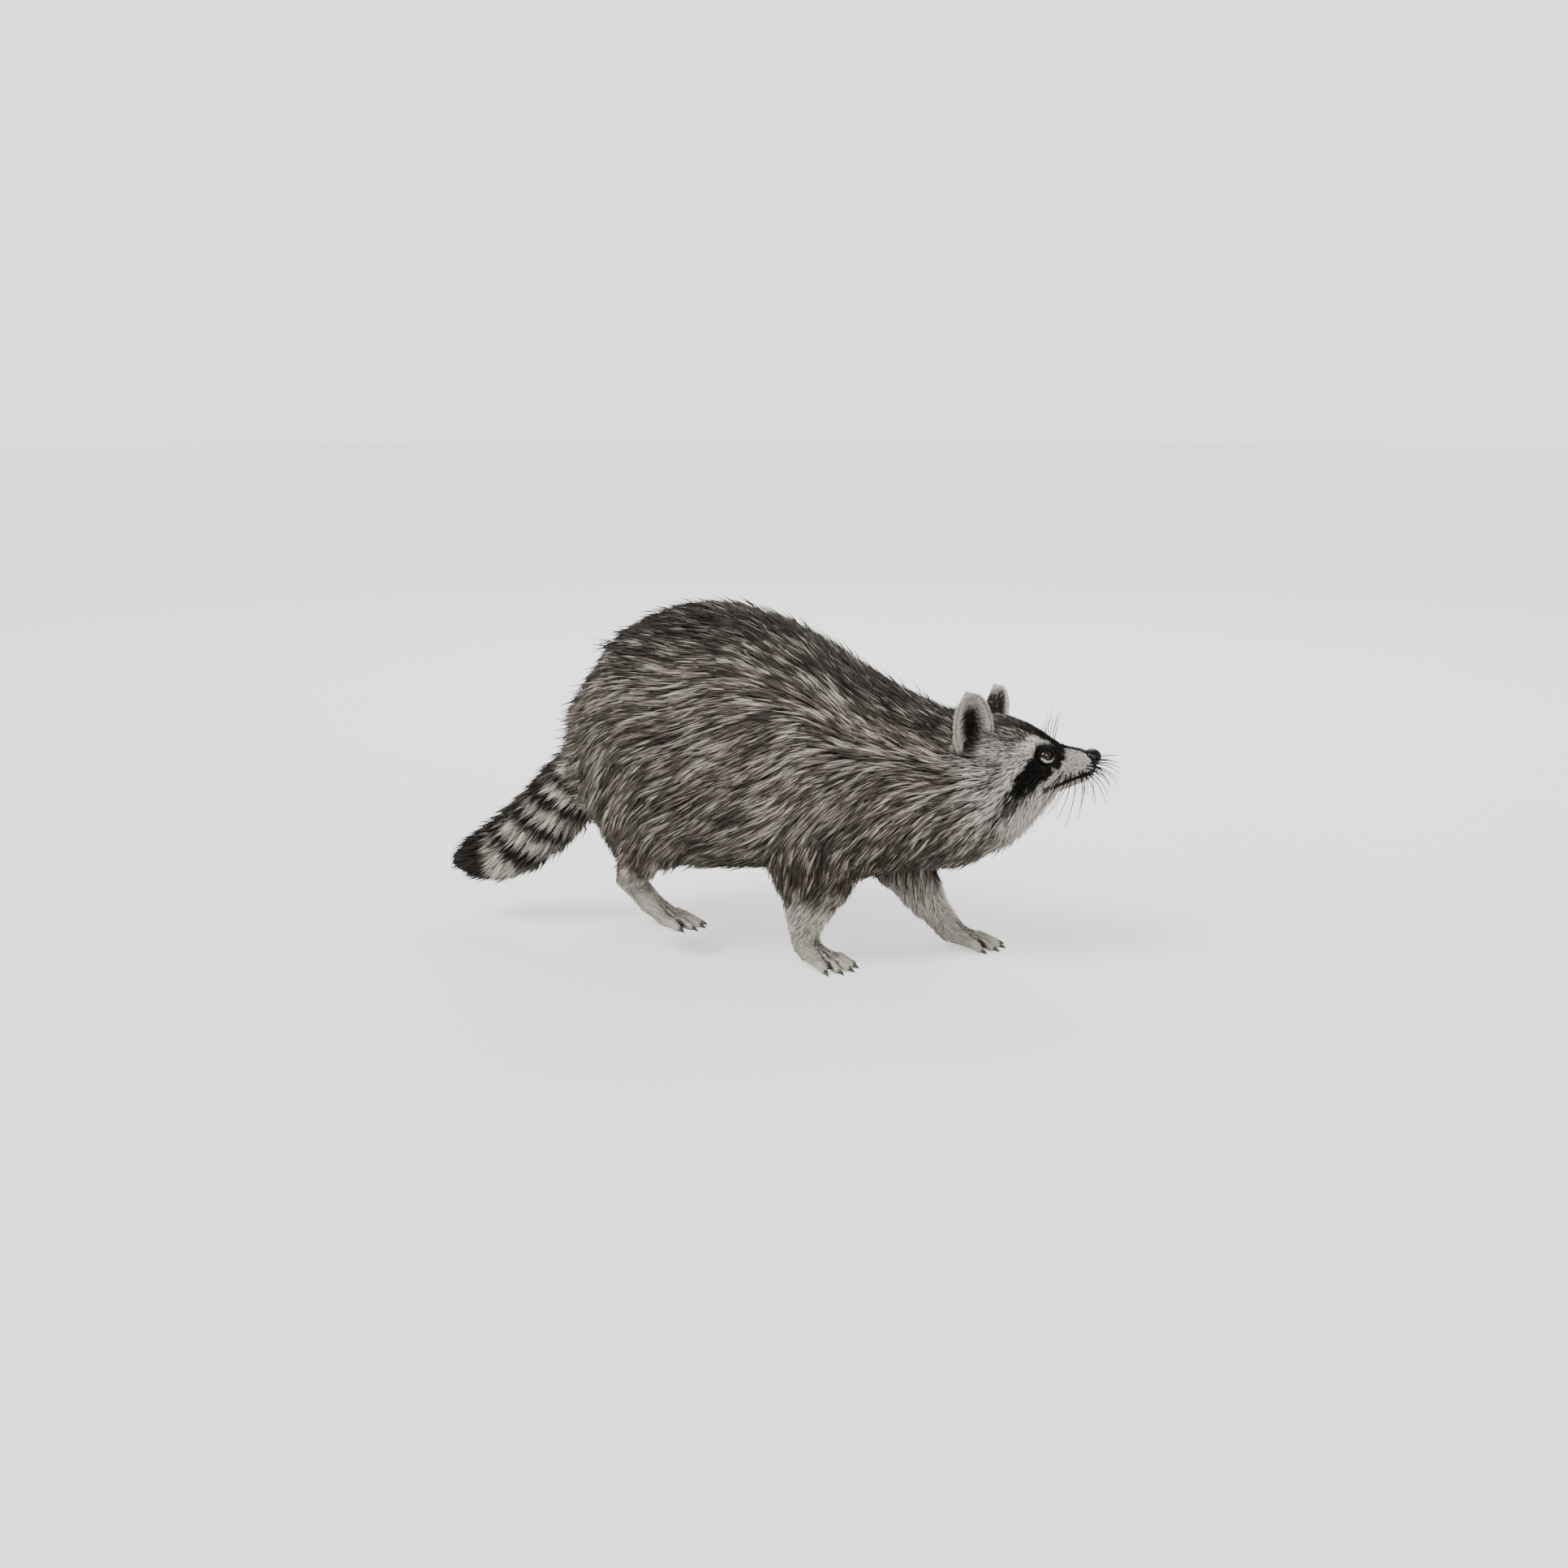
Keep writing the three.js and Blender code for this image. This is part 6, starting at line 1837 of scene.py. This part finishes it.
class MakeCoat(bpy.types.Operator):
    """Tufts of guard hair and underfur over the whole skin, in one piece for each part of the body"""

    bl_idname = "raccoon.coat"
    bl_label = "Coat"

    def execute(self, context):
        if not SKIN:
            raise RuntimeError("The coat grows on the skin, so the skin is made first")
        settings = context.scene.raccoon
        made = grow_coat(settings.coat, tones(settings.colours))
        for name in sorted(set(made["names"])):
            here = np.nonzero(made["names"] == name)[0]
            place = unwrap(name, made["root"][here])
            material = face_material() if name in SHORT_PARTS else coat_material()
            tufts, shades, strand = [made[key][here] for key in ("tufts", "shades", "strand")]
            slot = COAT_SLOTS.get(name, "coat")
            tuft_piece("coat_" + name, tufts, shades, place, strand, material, (), slot)
        return {"FINISHED"}


class MakeEars(bpy.types.Operator):
    """Both ears: a thin cupped shell with short fur, a pale rim and long hair inside"""

    bl_idname = "raccoon.ears"
    bl_label = "Ears"

    def execute(self, context):
        palette = tones(context.scene.raccoon.colours)
        rng = np.random.default_rng(EAR_SEED)
        for name in EARS:
            points, faces, shade = ear_skin(name, palette)
            nodes = ("ear_" + name,)
            shell_name = "ear_shell_" + name
            mesh_piece(shell_name, points, faces, skin_material(), shade, nodes=nodes, slot="face_fur")
            tufts = ear_tufts(name, palette, rng)
            tuft_piece("ear_coat_" + name, *tufts, face_material(), nodes, "face_fur")
        return {"FINISHED"}


class MakeEyes(bpy.types.Operator):
    """Wet dark eyes with iris and pupil, the lids round them and the short fur on the lids"""

    bl_idname = "raccoon.eyes"
    bl_label = "Eyes and lids"

    def execute(self, context):
        palette = tones(context.scene.raccoon.colours)
        rng = np.random.default_rng(LID_SEED)
        for name, side in (("left", 1), ("right", -1)):
            points, faces, shade = eye_ball(side)
            nodes = ("eye_" + name,)
            mesh_piece("eyeball_" + name, points, faces, eye_material(), shade, nodes=nodes, slot="eye")
            points, faces, shade = lid_ring(side)
            mesh_piece("lids_" + name, points, faces, lid_material(), shade, slot="nose")
            tufts = lid_fur(side, palette, rng)
            tuft_piece("lid_coat_" + name, *tufts, face_material(), (), "face_fur")
        return {"FINISHED"}


class MakeMuzzle(bpy.types.Operator):
    """Nose leather with comma nostrils, dark lips, whiskers and brow hairs"""

    bl_idname = "raccoon.muzzle"
    bl_label = "Nose, lips and whiskers"

    def execute(self, context):
        mesh_piece("nose_leather", *nose_leather(), nose_material(), nodes=("nose",), slot="nose")
        mesh_piece("lips", *lip_bars(), rim_material(), slot="nose")
        points, faces = hairs()
        shade = np.broadcast_to(linear((12, 10, 9)), points.shape)
        mesh_piece("whiskers", points, faces, whisker_material(), shade, slot="face_fur")
        return {"FINISHED"}


class MakeClaws(bpy.types.Operator):
    """Twenty curved claws of dark horn, paler at the root"""

    bl_idname = "raccoon.claws"
    bl_label = "Claws"

    def execute(self, context):
        claws = [claw_horn(foot, toe) for foot in FEET for toe in TOES]
        points, faces = gathered([claw[:2] for claw in claws])
        t, turn = [np.concatenate([claw[i] for claw in claws]) for i in (2, 3)]
        shade = lerp(linear((104, 88, 72)), linear((34, 28, 25)), ramp(t, -0.1, 0.7)[:, None])
        nodes = [f"claw_{foot}_{i + 1}" for foot in FEET for i in range(len(TOES))]
        maps = {"strand": np.stack([turn * 6, t * 0.3], 1)}
        mesh_piece("claws", points, faces, claw_material(), shade, maps, nodes, "claw")
        return {"FINISHED"}


def stage_camera(settings):
    """The camera, at its distance from the target and turned to it."""
    a, e = settings.azimuth, settings.elevation
    back = np.array([math.sin(a) * math.cos(e), -math.cos(a) * math.cos(e), math.sin(e)])
    lens = bpy.data.cameras.new("camera")
    lens.lens, lens.sensor_width = settings.lens, SENSOR
    lens.clip_start, lens.clip_end = 0.05, 60
    camera = bpy.data.objects.new("camera", lens)
    camera.location = placed(TARGET) + back * settings.distance
    camera.rotation_euler = Vector(-back).to_track_quat("-Z", "Y").to_euler()
    bpy.context.scene.collection.objects.link(camera)
    return camera


def floor_disc():
    """A flat disc in rings on the floor's level."""
    around = 96
    turn = np.arange(around) / around * 2 * np.pi
    radii = np.array(FLOOR_RADII)[:, None]
    rings = np.stack([radii * np.cos(turn), radii * np.sin(turn), 0 * radii * turn], -1) / MM - SHIFT
    a = np.arange((len(radii) - 1) * around).reshape(-1, around)
    b = np.roll(a, -1, 1)
    faces = [np.stack([a, a + around, b + around], -1), np.stack([a, b + around, b], -1)]
    middle = np.full(around, len(radii) * around)
    faces.append(np.stack([middle, a[0], b[0]], -1))
    points = np.concatenate([rings.reshape(-1, 3), [-SHIFT]])
    points[:, 2] = 0
    return points, np.concatenate([f.reshape(-1, 3) for f in faces])


def studio_world():
    """White all round: bright behind the animal, and softer as a light."""
    world = bpy.data.worlds.new("studio")
    world.use_nodes = True
    tree = world.node_tree
    shown = tree.nodes["Background"]
    path, strength = new_nodes(tree, "LightPath", "Mix")
    fill(strength, {"A": WORLD_LIGHT, "B": WORLD_SHOWN})
    fill(shown, {"Color": (1, 1, 1, 1)})
    link(tree, (path, "Is Camera Ray", strength, "Factor"), (strength, "Result", shown, "Strength"))
    return world


def studio_lamp(name, kind, at, size, power):
    """A lamp that shines at the animal. Its size is an angle for a sun and a width for an area."""
    light = bpy.data.lights.new(name, kind)
    light.energy = power
    if kind == "SUN":
        light.angle = size
    else:
        light.size = size
    lamp = bpy.data.objects.new(name, light)
    lamp.location = at
    lamp.visible_diffuse = name != "glint"  # the glint shows only as a gleam, on wet eyes and nose
    lamp.rotation_euler = (Vector(LAMPS_AIM) - Vector(at)).to_track_quat("-Z", "Y").to_euler()
    bpy.context.scene.collection.objects.link(lamp)


class SetStage(bpy.types.Operator):
    """A plain pale floor, soft studio light and the camera"""

    bl_idname = "raccoon.stage"
    bl_label = "Stage"

    def execute(self, context):
        settings = context.scene.raccoon.stage
        context.scene.camera = stage_camera(settings)
        floor = mesh_piece("floor", *floor_disc(), floor_material())
        context.scene.world = studio_world()
        for name, kind, at, size, power in LAMPS:
            studio_lamp(name, kind, at, size, settings.light * power)
        return {"FINISHED"}


STEPS = (MakeSkin, MakeCoat, MakeEars, MakeEyes, MakeMuzzle, MakeClaws, SetStage)


class RaccoonPanel(bpy.types.Panel):
    """Everything the raccoon is dressed with"""

    bl_idname = "VIEW3D_PT_raccoon"
    bl_label = "Raccoon"
    bl_space_type = "VIEW_3D"
    bl_region_type = "UI"
    bl_category = "Raccoon"

    def draw(self, context):
        settings = context.scene.raccoon
        for step in STEPS:
            self.layout.operator(step.bl_idname)
        for group in (settings.skin, settings.coat, settings.colours, settings.stage):
            box = self.layout.box()
            for name in group.__annotations__:
                box.prop(group, name)


CLASSES = (SkinSettings, CoatSettings, CoatColours, StageSettings, RaccoonSettings, *STEPS, RaccoonPanel)


def register():
    for made in CLASSES:
        bpy.utils.register_class(made)
    bpy.types.Scene.raccoon = bpy.props.PointerProperty(type=RaccoonSettings)


def unregister():
    del bpy.types.Scene.raccoon
    for made in reversed(CLASSES):
        bpy.utils.unregister_class(made)


def main():
    register()
    for step in STEPS:
        family, name = step.bl_idname.split(".")
        getattr(getattr(bpy.ops, family), name)()


if __name__ == "__main__":
    main()
